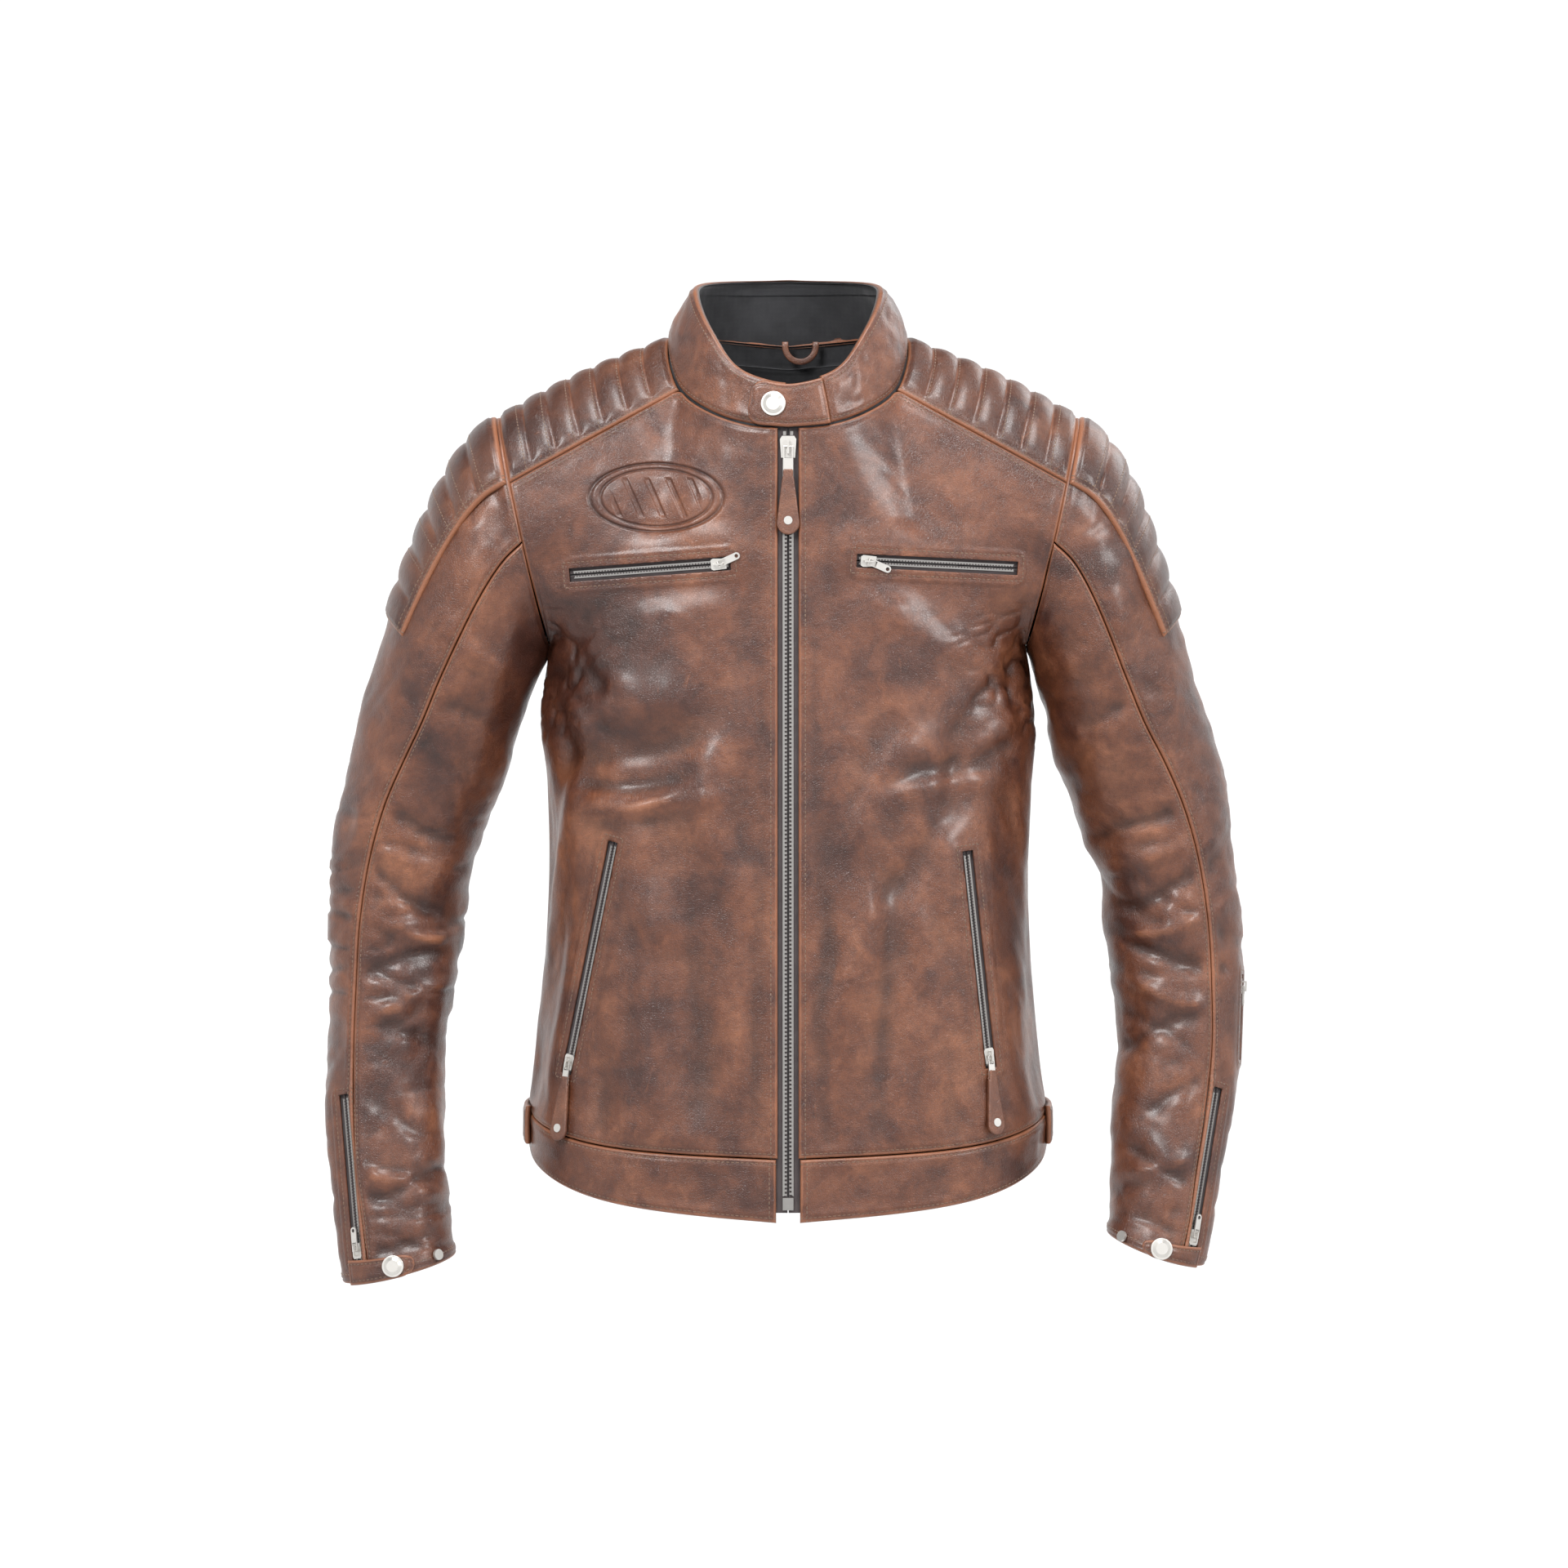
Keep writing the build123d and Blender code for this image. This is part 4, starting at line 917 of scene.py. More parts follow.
lining_relief = crumple(0.8, 44, 5, 41, (1, 1, 0.4))
LINING = {"roll": 0.5, "thick": 0.7}
QUILT = {"roll": 2.6, "spacing": 1.9, "coarse": (25, 25)}
STRAP = {"spacing": 1.6, "thick": 2.6, "coarse": (31, 9), "roll": 1.4, "puff": 0.5}
FRONT_INNER = (0, 60, -330)
YOKE_INNER = (150, 5, -200)
HEM_INNER = (0, 20, -620)


def sleeve_lining(side):
    def point(u, v):
        inset = LINING_GAP + 6.0 * float(smooth(0, 0.06, 1 - v))
        return sleeve_point(side, 0.2 + 14.75 * v, 360 * u, inset)
    return point


for side, hand in HANDS:
    yoke_inner = (side * YOKE_INNER[0],) + YOKE_INNER[1:]
    sleeve_inner = sleeve_frame(side, 8)[0]
    sleeve_zips = ("cuff_" + hand,) + (("sleeve_pocket",) if side > 0 else ())
    Panel("front_" + hand, lambda u, v, s=side: front_point(s, u, v), 2.0, FRONT_INNER,
          ("main", "chest_" + hand, "hand_" + hand), body_relief, coarse=(41, 61), smoothing=1.0)
    Panel("yoke_" + hand, lambda u, v, s=side: yoke_point(s, 0.004 + 0.992 * u, v), 1.0,
          yoke_inner, ribs=puffed_ribs(YOKE_RIBS, 3.3, 1.2, 11), **QUILT)
    Panel("band_" + hand, band_point(side * 2.25, side * 89.8), 1.0, HEM_INNER, ("main",),
          crumple(0.8, 46, 5, 51, (1, 1, 0.5)), coarse=(31, 9))
    Panel("sleeve_outer_" + hand, sleeve_outer(side), 1.0, sleeve_inner, sleeve_zips,
          sleeve_relief(side), coarse=(25, 76))
    Panel("sleeve_under_" + hand, sleeve_under(side), 1.0, sleeve_inner, (),
          sleeve_relief(side), coarse=(25, 76), spacing=2.8)
    Panel("sleeve_quilt_" + hand, sleeve_quilt(side), 1.0, sleeve_frame(side, 2)[0],
          ribs=puffed_ribs(SLEEVE_QUILT_RIBS, 3.6, 1.0, 12), thick=3.0, **QUILT)
    Panel("sleeve_lining_" + hand, sleeve_lining(side), 1.0, sleeve_inner, (), lining_relief,
          spacing=5.0, coarse=(33, 61), **LINING)
    Panel("cuff_tab_" + hand, cuff_tab(side), 1.0, sleeve_frame(side, 14.8)[0], (),
          crumple(0.3, 20, 4, 61), **STRAP)
    Panel("waist_strap_" + hand, waist_strap(side), 1.0, (0, 20, -590), (),
          crumple(0.3, 20, 4, 62), **STRAP)
Panel("back", lambda u, v: back_point(0.001 + 0.998 * u, v), 2.0, (0, 0, -300), (), body_relief,
      coarse=(51, 61), spacing=2.8, smoothing=1.0)
Panel("band_back", band_point(90.2, 269.8), 1.0, (0, 0, -620), (),
      crumple(0.8, 46, 5, 52, (1, 1, 0.5)), coarse=(51, 9))
Panel("collar", collar_piece(0.0, 0.02, 1.0), 1.0, (0, -4, -10), (), collar_relief,
      coarse=(61, 13), spacing=2.0, puff=0.6, roll=3.0)
Panel("collar_inner", collar_piece(2.6, -0.42, 0.97), 1.0, (0, -4, -10), (), collar_relief,
      coarse=(61, 13), spacing=2.6, thick=0.8)
Panel("collar_tab", tab_point, 1.0, (0, 60, -45), (), crumple(0.3, 24, 4, 63),
      spacing=1.6, coarse=(31, 13), thick=2.6, roll=1.8, puff=0.7)


def lined(point, us, vs):
    """A lining sheet: the same shape as its outer panel, moved inwards, less at its lower edge."""
    def place(u, v):
        here = Vector(point(us[0] + (us[1] - us[0]) * u, vs[0] + (vs[1] - vs[0]) * v))
        middle = Vector((here.x * 0.35, 10.0, min(here.z, -150.0) - 10.0))
        away = middle - here
        deep = LINING_GAP + LINING_DROP * min(1.0, v * 9)
        return tuple(here + away.normalized() * deep)
    return place


def lined_front(side):
    def point(u, v):
        if v < 0:
            z = read(BAND_TOP, front_angle(u, ARMPIT_Z))[0] + LINING_BELOW * v
            return body_point(side * front_angle(u, z), z)
        return front_point(side, u, v)
    start = -0.07 if side > 0 else 0.0
    return lined(point, (start, 0.998), (-1, 1.99))


def lined_back(u, v):
    if v < 0:
        turned = 90 + 180 * u
        z = read(BAND_TOP, abs(wrapped(turned)))[0] + LINING_BELOW * v
        return body_point(wrapped(-turned), z)
    return back_point(u, v)


for side, hand in HANDS:
    Panel("lining_front_" + hand, lined_front(side), 1.0, FRONT_INNER, (), lining_relief,
          spacing=6.0, coarse=(25, 45), **LINING)
    Panel("lining_yoke_" + hand,
          lambda u, v, s=side: add(yoke_point(s, u, v), (0, 0, -YOKE_LINING_DROP)), 1.0,
          (side * YOKE_INNER[0],) + YOKE_INNER[1:], spacing=6.0, coarse=(15, 15), **LINING)
Panel("lining_back", lined(lined_back, (0.0, 1.0), (-1, 1.99)), 1.0, (0, 0, -300), (), lining_relief,
      spacing=6.0, coarse=(31, 45), **LINING)


# ---------------------------------------------------------------- leather pulls, loop, tapes, emblem
def mesh_object(name, vertices, faces):
    mesh = bpy.data.meshes.new(name)
    mesh.from_pydata([tuple(Vector(v) * MM) for v in vertices], [], faces)
    mesh.validate()
    mesh.shade_smooth()
    return placed(name, mesh)


PULL_VOXEL = 0.00055
PULL_SWELL = 0.35


def replacement_skin(node, name):
    """Leather piece with the outline of a CAD pull tab, softened by remeshing and smoothing."""
    thing = placed(name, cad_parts[node].data.copy())
    thing.data.materials.clear()
    remesh = thing.modifiers.new("remesh", "REMESH")
    remesh.mode = "VOXEL"
    remesh.voxel_size = PULL_VOXEL
    relax = thing.modifiers.new("relax", "SMOOTH")
    relax.iterations = 5
    push = thing.modifiers.new("push", "DISPLACE")
    push.strength = PULL_SWELL * MM
    push.mid_level = 0.0
    bpy.context.view_layer.update()
    graph = bpy.context.evaluated_depsgraph_get()
    final = bpy.data.meshes.new_from_object(thing.evaluated_get(graph))
    thing.modifiers.clear()
    thing.data = final
    final.shade_smooth()
    return thing


def tape_strip(name, zip_names, sink, wide):
    """Woven tapes either side of the teeth of some zips, with a corded inner edge."""
    vertices, faces = [], []
    profile = [(0.35, 0.1), (0.6, 0.75), (1.3, 0.95), (2.0, 0.55), (3.4, 0.4), (6.0, 0.45),
               (wide, 0.4), (wide, -0.3), (0.6, -0.3)]
    for zip_name in zip_names:
        zip_plane = ZIPS[zip_name]
        length = zip_plane.length + (14 if zip_name == "main" else 4)
        rows = int(length / 3)
        for mirror in (-1, 1):
            base = len(vertices)
            for row in range(rows + 1):
                y = -6 + (length + 4) * row / rows
                for x, z in profile:
                    ripple = 0.16 * sin(y * 0.55 + x) * min(x / 4, 1)
                    vertices.append(tuple(zip_plane.world(mirror * x, y, z - sink + ripple)))
            count = len(profile)
            for row in range(rows):
                for m in range(count):
                    a = base + row * count + m
                    b = base + row * count + (m + 1) % count
                    quad = (a, b, b + count, a + count)
                    faces.append(quad if mirror > 0 else quad[::-1])
    return mesh_object(name, vertices, faces)


def squared(value):
    """A sine or cosine pushed outwards, for a section with rounded corners."""
    return abs(value) ** 0.6 * (1 if value > 0 else -1)


def strap_along(name, path, radius, flat, sides, thin_way):
    """A strap of round-cornered section along a path."""
    vertices = []
    path = [Vector(p) for p in path]
    for k, place in enumerate(path):
        ahead = path[min(k + 1, len(path) - 1)] - path[max(k - 1, 0)]
        ahead.normalize()
        side_way = ahead.cross(thin_way).normalized()
        up = side_way.cross(ahead)
        for m in range(sides):
            turn = 2 * pi * m / sides
            across, over = squared(cos(turn)), squared(sin(turn))
            vertices.append(tuple(place + side_way * across * radius + up * over * radius * flat))
    return mesh_object(name, vertices, tube_faces(0, len(path), sides))


LOOP_RADIUS = 2.4
loop_box = [Vector(c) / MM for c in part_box("hanger_loop")]
loop_middle = (loop_box[0] + loop_box[1]) / 2
loop_half = (loop_box[1].x - loop_box[0].x) / 2 - LOOP_RADIUS
loop_path = [(loop_middle.x - loop_half, loop_middle.y, loop_box[1].z - 0.5)]
for k in range(25):
    turn = pi * k / 24
    loop_path.append((loop_middle.x - loop_half * cos(turn), loop_middle.y - 0.6 * sin(turn),
                      loop_box[0].z + LOOP_RADIUS + loop_half - loop_half * sin(turn)))
loop_path.append((loop_middle.x + loop_half, loop_middle.y, loop_box[1].z - 0.5))
hanger = strap_along("hanger_leather", loop_path, LOOP_RADIUS, 0.45, 12, Vector((0, 1, 0)))

main_tapes = tape_strip("main_tapes", ["main"], 2.9, 12.0)
pocket_tapes = tape_strip("pocket_tapes", ["chest_right", "chest_left", "hand_right", "hand_left"], 2.7, 9.0)
cuff_tapes = {"right": tape_strip("cuff_tapes_right", ["cuff_right"], 2.7, 9.0),
              "left": tape_strip("cuff_tapes_left", ["cuff_left", "sleeve_pocket"], 2.7, 9.0)}
pull_skins = {"main": replacement_skin("main_pull_tab", "main_pull_skin"),
              "hand_right": replacement_skin("hand_pull_tab_right", "hand_pull_leather_right"),
              "hand_left": replacement_skin("hand_pull_tab_left", "hand_pull_leather_left")}


# ---------------------------------------------------------------- generic embossed oval on the chest
def emboss(panel, middle, half_x, half_z):
    """A pressed oval with a double outline and plain slanted bars inside, its pressed lines darkened with
    painted shade.
    """
    bm = bmesh.new()
    bm.from_mesh(panel.object.data)
    edges = set()
    for face in bm.faces:
        place = face.calc_center_median() / MM
        if abs(place.x - middle[0]) < half_x + 5 and abs(place.z - middle[1]) < half_z + 5 and place.y < 0:
            edges.update(face.edges)
    bmesh.ops.subdivide_edges(bm, edges=list(edges), cuts=3, use_grid_fill=True)
    bm.to_mesh(panel.object.data)
    bm.free()
    co = np.array([v.co for v in panel.object.data.vertices]) / MM
    x = (co[:, 0] - middle[0]) / half_x
    z = (co[:, 2] - middle[1]) / half_z
    away = np.sqrt(x ** 2 + z ** 2)
    size = (half_x + half_z) / 2
    press = np.exp(-(((away - 1.0) * size) / 1.3) ** 2)
    press = press + 0.8 * np.exp(-(((away - 0.84) * size) / 1.0) ** 2)
    slant = np.abs(((co[:, 0] + 0.45 * co[:, 2]) % 16.0) - 8.0)
    bars = (1 - smooth(1.6, 2.6, slant)) * (1 - smooth(0.60, 0.70, np.abs(x)))
    bars *= 1 - smooth(0.50, 0.62, np.abs(z))
    crown = 1.1 * (1 - smooth(0.55, 0.86, away))
    depth = (1.5 * press + 1.2 * bars - crown) * (co[:, 1] < 0)
    co[:, 1] += depth
    panel.object.data.vertices.foreach_set("co", (co * MM).ravel())
    # Painted shade: the pressed outline and bars are darkened in colour by their depth.
    tone_and_painted_shade = panel.object.data.attributes["tone_and_painted_shade"]
    values = np.zeros(len(co), np.float32)
    tone_and_painted_shade.data.foreach_get("value", values)
    tone_and_painted_shade.data.foreach_set("value", np.clip(values + 0.42 * np.maximum(depth, 0), 0, 1).astype(np.float32))
    panel.object.data.update()


emboss(panels["front_right"], EMBLEM_MIDDLE, *EMBLEM_HALF)


# ---------------------------------------------------------------- stitch lines
def quilt_rows(panel, count):
    """Stitched channels between the puffs of a quilted panel."""
    rows = panel.grid.shape[0]
    total = panel.edges[2][:, 0] + panel.edges[3][:, 0]
    place = panel.edges[2][:, panel.grid.shape[1] // 2] / total
    runs = []
    for k in range(1, count):
        row = int(np.argmin(np.abs(place - k / count)))
        runs.append(panel.grid[row, 4:-4])
    return runs


def lines(panel_name, *rows):
    """Stitch lines of a panel: edge, distance from it, and the shares where the line starts and ends."""
    return [panels[panel_name].offset_line(*row) for row in rows]


SEAM = 3.2
MOST = (0.02, 0.98)
seam_runs = {"jacket": [], "sleeve_right": [], "sleeve_left": []}
strap_runs = {}
for side, hand in HANDS:
    body, arm = seam_runs["jacket"], seam_runs["sleeve_" + hand]
    body += lines("front_" + hand, ("left", 5.0, 0.0, 0.99), ("bottom", SEAM, *MOST),
                  ("top", SEAM, 0.3, 0.98), ("top", 2 * SEAM, 0.34, 0.98))
    body += lines("yoke_" + hand, ("left", 2.6, 0.03, 0.97), ("right", 2.6, 0.03, 0.97))
    body += lines("band_" + hand, ("top", SEAM), ("bottom", SEAM), ("left", 5.0))
    body += quilt_rows(panels["yoke_" + hand], YOKE_RIBS)
    for pocket in ("chest_", "hand_"):
        body.append(box_run(ZIPS[pocket + hand], ZIP_OPENING + 4.2, 6, 6))
    outer, under, quilt = "sleeve_outer_" + hand, "sleeve_under_" + hand, "sleeve_quilt_" + hand
    arm += lines(outer, ("right", SEAM, *MOST)) + lines(under, ("left", SEAM, *MOST))
    arm += lines(outer, ("left", SEAM, *MOST), ("bottom", SEAM)) + lines(under, ("top", 7.0))
    arm += lines(outer, ("top", 7.0))
    arm += lines(quilt, ("left", 3.0), ("right", 3.0), ("top", 3.0), ("left", 6.0))
    arm += quilt_rows(panels[quilt], SLEEVE_QUILT_RIBS)
    arm.append(box_run(ZIPS["cuff_" + hand], ZIP_OPENING + 3.6, 4, 6))
    for strap in ("cuff_tab_" + hand, "waist_strap_" + hand):
        strap_runs[strap] = lines(strap, ("bottom", 3.0, 0.02, 0.9), ("top", 3.0, 0.02, 0.9))
seam_runs["sleeve_left"].append(box_run(ZIPS["sleeve_pocket"], ZIP_OPENING + 3.6, 5, 5))
seam_runs["jacket"] += lines("collar", ("top", 5.5, *MOST), ("bottom", 3.4, *MOST))
seam_runs["jacket"] += lines("back", ("bottom", SEAM))
seam_runs["jacket"] += lines("band_back", ("bottom", SEAM), ("top", SEAM))
seam_runs["jacket"] += lines("back", ("top", SEAM, *MOST))
strap_runs["collar_tab"] = lines("collar_tab", ("bottom", 3.6, 0.02, 0.86), ("top", 3.6, 0.02, 0.86))

body_panels = ["front_right", "front_left", "yoke_right", "yoke_left", "band_right", "band_left",
               "band_back", "back", "collar"]
threads = {"jacket": stitch_mesh("stitches_jacket", seam_runs["jacket"], body_panels)}
for side, hand in HANDS:
    names = ["sleeve_outer_" + hand, "sleeve_under_" + hand, "sleeve_quilt_" + hand]
    threads["sleeve_" + hand] = stitch_mesh("stitches_sleeve_" + hand, seam_runs["sleeve_" + hand], names)
for strap, runs in strap_runs.items():
    threads[strap] = stitch_mesh("stitches_" + strap, runs, [strap])


# ---------------------------------------------------------------- materials
class Nodes:
    """A material's node tree, with short ways to add nodes."""

    def __init__(self, name):
        self.material = bpy.data.materials.new(name)
        self.material.use_nodes = True
        self.tree = self.material.node_tree
        self.shader = next(n for n in self.tree.nodes if n.type == "BSDF_PRINCIPLED")
        self.place = self.add("ShaderNodeTexCoord").outputs["Object"]

    def add(self, kind):
        return self.tree.nodes.new(kind)

    def join(self, source, target):
        self.tree.links.new(source, target)

    def stretch(self, scale):
        node = self.add("ShaderNodeMapping")
        node.inputs["Scale"].default_value = scale
        self.join(self.place, node.inputs["Vector"])
        return node.outputs["Vector"]

    def noise(self, scale, detail=4.0, rough=0.55, warp=0.0, place=None):
        node = self.add("ShaderNodeTexNoise")
        node.inputs["Scale"].default_value = scale
        node.inputs["Detail"].default_value = detail
        node.inputs["Roughness"].default_value = rough
        node.inputs["Distortion"].default_value = warp
        self.join(place or self.place, node.inputs["Vector"])
        return node.outputs["Fac"]

    def cells(self, scale, feature="F1"):
        node = self.add("ShaderNodeTexVoronoi")
        node.feature = feature
        node.inputs["Scale"].default_value = scale
        self.join(self.place, node.inputs["Vector"])
        return node.outputs["Distance"]

    def weave(self, scale, direction):
        node = self.add("ShaderNodeTexWave")
        node.bands_direction = direction
        node.inputs["Scale"].default_value = scale
        node.inputs["Distortion"].default_value = 0.6
        self.join(self.place, node.inputs["Vector"])
        return node.outputs["Fac"]

    def attribute(self, name):
        node = self.add("ShaderNodeAttribute")
        node.attribute_name = name
        return node.outputs["Fac"]

    def ramp(self, source, stops):
        node = self.add("ShaderNodeValToRGB")
        ramp = node.color_ramp
        ramp.elements[0].position, ramp.elements[0].color = stops[0][0], stops[0][1] + (1,)
        ramp.elements[1].position, ramp.elements[1].color = stops[-1][0], stops[-1][1] + (1,)
        for at, colour in stops[1:-1]:
            ramp.elements.new(at).color = colour + (1,)
        self.join(source, node.inputs["Fac"])
        return node.outputs["Color"]

    def span(self, source, low, high, to_low=0.0, to_high=1.0):
        node = self.add("ShaderNodeMapRange")
        for key, value in (("From Min", low), ("From Max", high), ("To Min", to_low), ("To Max", to_high)):
            node.inputs[key].default_value = value
        self.join(source, node.inputs["Value"])
        return node.outputs["Result"]

    def math(self, how, a, b):
        node = self.add("ShaderNodeMath")
        node.operation = how
        for k, value in enumerate((a, b)):
            if isinstance(value, (int, float)):
                node.inputs[k].default_value = value
            else:
                self.join(value, node.inputs[k])
        return node.outputs[0]

    def blend(self, share, a, b):
        node = self.add("ShaderNodeMix")
        node.data_type = "RGBA"
        colours = [s for s in node.inputs if s.type == "RGBA"]
        for socket, value in zip([node.inputs["Factor"]] + colours, (share, a, b)):
            if isinstance(value, tuple):
                socket.default_value = value + (1,)
            elif isinstance(value, (int, float)):
                socket.default_value = value
            else:
                self.join(value, socket)
        return next(s for s in node.outputs if s.type == "RGBA")

    def bump(self, height, strength, distance, below=None):
        node = self.add("ShaderNodeBump")
        node.inputs["Strength"].default_value = strength
        node.inputs["Distance"].default_value = distance
        self.join(height, node.inputs["Height"])
        if below is not None:
            self.join(below, node.inputs["Normal"])
        return node.outputs["Normal"]

    def finish(self, colour, rough, normal, **sockets):
        for key, value in (("Base Color", colour), ("Roughness", rough), ("Normal", normal)):
            if value is not None:
                self.join(value, self.shader.inputs[key])
        for key, value in sockets.items():
            self.shader.inputs[key].default_value = value
        return self.material


def leather(name, base, dark, red, tan, wear=1.0, gloss=0.36):
    n = Nodes(name)
    wide = n.noise(9.0, 5, 0.6, 0.8)
    patchy = n.noise(34.0, 6, 0.62, 0.5)
    fine = n.noise(190.0, 5, 0.6)
    colour = n.ramp(n.math("ADD", n.math("MULTIPLY", wide, 0.55), n.math("MULTIPLY", patchy, 0.45)),
                    [(0.30, dark), (0.42, red), (0.53, base), (0.72, tan)])
    colour = n.blend(n.span(fine, 0.42, 0.72, 0, 0.30), colour, dark)
    grain = n.cells(620.0, "DISTANCE_TO_EDGE")
    pores = n.cells(1050.0)
    valley = n.span(grain, 0.0, 0.09, 1, 0)
    colour = n.blend(n.math("MULTIPLY", valley, 0.28), colour, dark)
    rub = n.span(n.math("ADD", n.attribute("wear"), n.math("MULTIPLY", patchy, 0.5)), 0.62, 1.25, 0, wear)
    colour = n.blend(rub, colour, tan)
    # Painted shade: fold hollows and the oval's pressed lines are darkened here; on quilted panels the same
    # attribute gives the puffs their own darker tone.
    colour = n.blend(n.math("MULTIPLY", n.attribute("tone_and_painted_shade"), 0.8), colour, dark)
    scuff = n.span(n.noise(70.0, 8, 0.7, 2.0, n.stretch((1.0, 1.0, 0.35))), 0.62, 0.74, 0, 0.34 * wear)
    colour = n.blend(scuff, colour, tan)
    rough = n.math("ADD", n.span(patchy, 0.3, 0.7, gloss - 0.07, gloss + 0.08),
                   n.math("MULTIPLY", rub, 0.12))
    normal = n.bump(n.span(grain, 0.0, 0.16), 0.34, 0.0005)
    normal = n.bump(pores, 0.16, 0.0003, normal)
    normal = n.bump(n.noise(110.0, 6, 0.62, 0.8), 0.42, 0.0016, normal)
    settings = {"Specular IOR Level": 0.42, "Coat Weight": 0.32, "Coat Roughness": 0.27}
    return n.finish(colour, rough, normal, **settings)


def cloth(name, base, light, scale):
    n = Nodes(name)
    threads_up = n.weave(scale, "Z")
    threads_across = n.weave(scale, "X")
    mixed = n.math("MULTIPLY", threads_up, threads_across)
    colour = n.ramp(n.math("ADD", n.math("MULTIPLY", mixed, 0.4), n.math("MULTIPLY", n.noise(40, 4), 0.6)),
                    [(0.2, base), (0.8, light)])
    normal = n.bump(mixed, 0.35, 0.0004)
    rough = n.span(n.noise(160.0), 0.3, 0.7, 0.68, 0.86)
    return n.finish(colour, rough, normal, **{"Sheen Weight": 0.3, "Sheen Roughness": 0.5})


BASE = (0.118, 0.037, 0.016)
DARK = (0.017, 0.005, 0.003)
RED = (0.058, 0.017, 0.009)
TAN = (0.262, 0.098, 0.045)
looks = {
    "brown_leather": leather("brown leather", BASE, DARK, RED, TAN),
    "quilted_leather": leather("quilted leather", BASE, DARK, RED, TAN, 1.3, 0.38),
    "pull_leather": leather("pull leather", (0.150, 0.058, 0.031), DARK, (0.095, 0.034, 0.020), TAN,
                            1.0, 0.44),
    "lining_cloth": cloth("lining cloth", (0.008, 0.008, 0.010), (0.030, 0.030, 0.034), 420.0),
    "zip_tape": cloth("zip tape", (0.022, 0.015, 0.016), (0.060, 0.042, 0.042), 640.0),
    "thread": cloth("thread", (0.090, 0.048, 0.028), (0.240, 0.145, 0.085), 900.0)}


def dress(thing, look, slot_name=None):
    thing.data.materials.clear()
    thing.data.materials.append(looks[look])
    slot_name or look


# ---------------------------------------------------------------- what each piece rides on and replaces
def sleeve_blend(thing):
    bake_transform(thing)


def carried(name, body, look, *nodes):
    """Give a panel its look, the body that it rides on and the CAD nodes that it replaces."""
    thing = panels[name].object
    dress(thing, look)
    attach(thing, body)
    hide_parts(*nodes)


for side, hand in HANDS:
    carried("front_" + hand, "jacket", "brown_leather", "front_panel_" + hand)
    carried("yoke_" + hand, "jacket", "quilted_leather", "shoulder_yoke_" + hand)
    carried("band_" + hand, "jacket", "brown_leather", "hem_band_" + hand)
    carried("lining_front_" + hand, "jacket", "lining_cloth", "body_lining")
    carried("lining_yoke_" + hand, "jacket", "lining_cloth", "body_lining")
    carried("cuff_tab_" + hand, "cuff_tab_" + hand, "brown_leather", "cuff_tab_" + hand)
    carried("waist_strap_" + hand, "waist_strap_" + hand, "brown_leather", "waist_strap_" + hand)
    for part, look in (("outer", "brown_leather"), ("under", "brown_leather"),
                       ("quilt", "quilted_leather"), ("lining", "lining_cloth")):
        thing = panels["sleeve_" + part + "_" + hand].object
        dress(thing, look)
        sleeve_blend(thing)
        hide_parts("sleeve_" + part + "_" + hand)
    dress(threads["sleeve_" + hand], "thread", "brown_leather")
    sleeve_blend(threads["sleeve_" + hand])
    dress(cuff_tapes[hand], "zip_tape")
    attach(cuff_tapes[hand], "sleeve_" + hand)
    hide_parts("sleeve_zip_tapes_" + hand)
    dress(pull_skins["hand_" + hand], "pull_leather")
    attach(pull_skins["hand_" + hand], "hand_pull_" + hand)
    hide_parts("hand_pull_tab_" + hand)
for name, node in (("back", "back_panel"), ("band_back", "hem_band_back"), ("collar", "collar_shell")):
    carried(name, "jacket", "brown_leather", node)
carried("collar_inner", "jacket", "lining_cloth", "collar_lining")
carried("lining_back", "jacket", "lining_cloth", "body_lining")
carried("collar_tab", "collar_tab", "brown_leather", "collar_tab")
for thing, look, node in ((main_tapes, "zip_tape", "body_zip_tapes"),
                          (pocket_tapes, "zip_tape", "body_zip_tapes"),
                          (hanger, "pull_leather", "hanger_loop")):
    dress(thing, look)
    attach(thing, "jacket")
    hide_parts(node)
dress(pull_skins["main"], "pull_leather")
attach(pull_skins["main"], "main_pull")
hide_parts("main_pull_tab")
for key, thing in threads.items():
    if not key.startswith("sleeve_"):
        dress(thing, "thread", "brown_leather")
        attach(thing, key)


# ---------------------------------------------------------------- floor, light and camera
FLOOR_RADIUS = 3.6
STAGE_BEND = 1.4
WALL_RADIUS = 5.0
WALL_TOP = 8.0
FLOOR_DROP = 3.4
STAGE_SIDES = 64


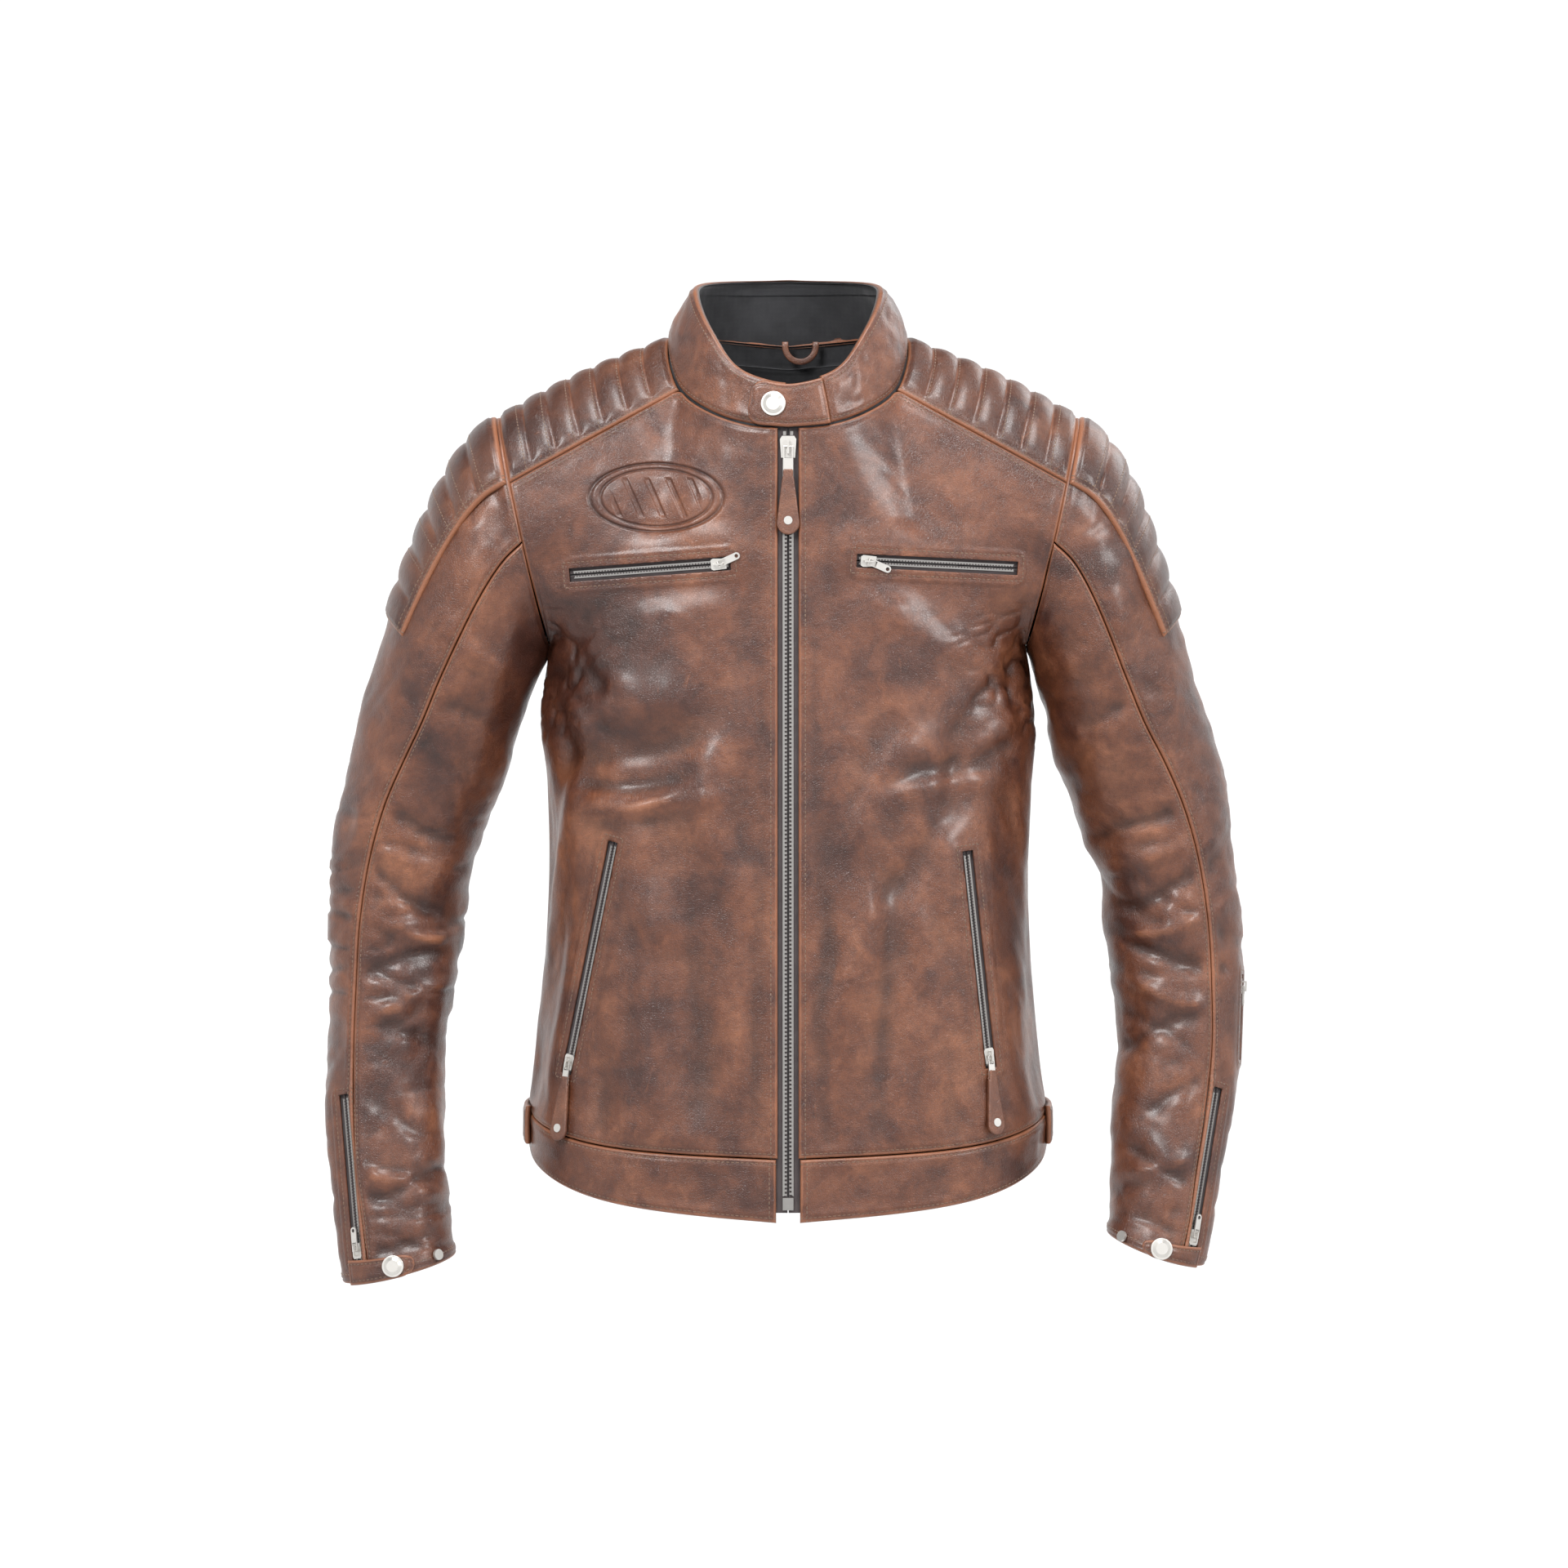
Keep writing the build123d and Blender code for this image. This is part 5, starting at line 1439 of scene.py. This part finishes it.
def stage_mesh():
    """Round floor that curves up into a wall all the way round."""
    profile = [(0.0, 0.0), (FLOOR_RADIUS, 0.0)]
    profile += [(FLOOR_RADIUS + STAGE_BEND * sin(radians(a)), STAGE_BEND - STAGE_BEND * cos(radians(a)))
                for a in range(6, 91, 6)]
    profile.append((WALL_RADIUS, WALL_TOP))
    vertices, faces = [], []
    for k in range(STAGE_SIDES):
        turn = 2 * pi * k / STAGE_SIDES
        vertices += [(r * cos(turn), r * sin(turn), z - FLOOR_DROP) for r, z in profile]
    count = len(profile)
    for k in range(STAGE_SIDES):
        for m in range(count - 1):
            a, b = k * count + m, (k + 1) % STAGE_SIDES * count + m
            faces.append((a, b, b + 1, a + 1))
    mesh = bpy.data.meshes.new("stage")
    mesh.from_pydata(vertices, [], faces)
    mesh.shade_smooth()
    thing = placed("stage", mesh)
    n = Nodes("stage white")
    tone = n.ramp(n.noise(1.5, 2), [(0.3, (0.70, 0.70, 0.70)), (0.7, (0.73, 0.73, 0.73))])
    n.join(tone, n.shader.inputs["Emission Color"])
    thing.data.materials.append(n.finish(tone, None, None, **{"Roughness": 0.9, "Emission Strength": 0.42}))
    return thing


def area_light(name, place, target, size, power):
    light = bpy.data.lights.new(name, "AREA")
    light.energy = power
    light.size = size
    thing = placed(name, light)
    thing.location = place
    thing.rotation_euler = (Vector(target) - Vector(place)).to_track_quat("-Z", "Y").to_euler()


stage_mesh()
middle = (0, 0, -0.33)
area_light("key light", (-1.3, -2.3, 1.7), middle, 0.8, 80)
area_light("fill light", (1.9, -1.7, 0.9), middle, 0.7, 42)
area_light("top light", (0.2, -0.9, 2.3), middle, 0.9, 62)
area_light("rim light", (1.6, 1.4, 1.2), middle, 1.4, 22)
world = bpy.data.worlds.new("studio")
world.use_nodes = True
background = world.node_tree.nodes["Background"]
background.inputs["Color"].default_value = (1, 1, 1, 1)
background.inputs["Strength"].default_value = 0.10
bpy.context.scene.world = world
bpy.context.scene.view_settings.view_transform = "Standard"

camera_data = bpy.data.cameras.new("camera")
camera_data.lens = 100
camera_data.sensor_width = 36
camera = placed("camera", camera_data)
DOWN = radians(4.0)
DISTANCE = 3.2
aim = Vector((-0.003, -0.075, -0.330))
camera.location = aim + Vector((0, -cos(DOWN), sin(DOWN))) * DISTANCE
camera.rotation_euler = (aim - camera.location).to_track_quat("-Z", "Y").to_euler()
bpy.context.scene.camera = camera
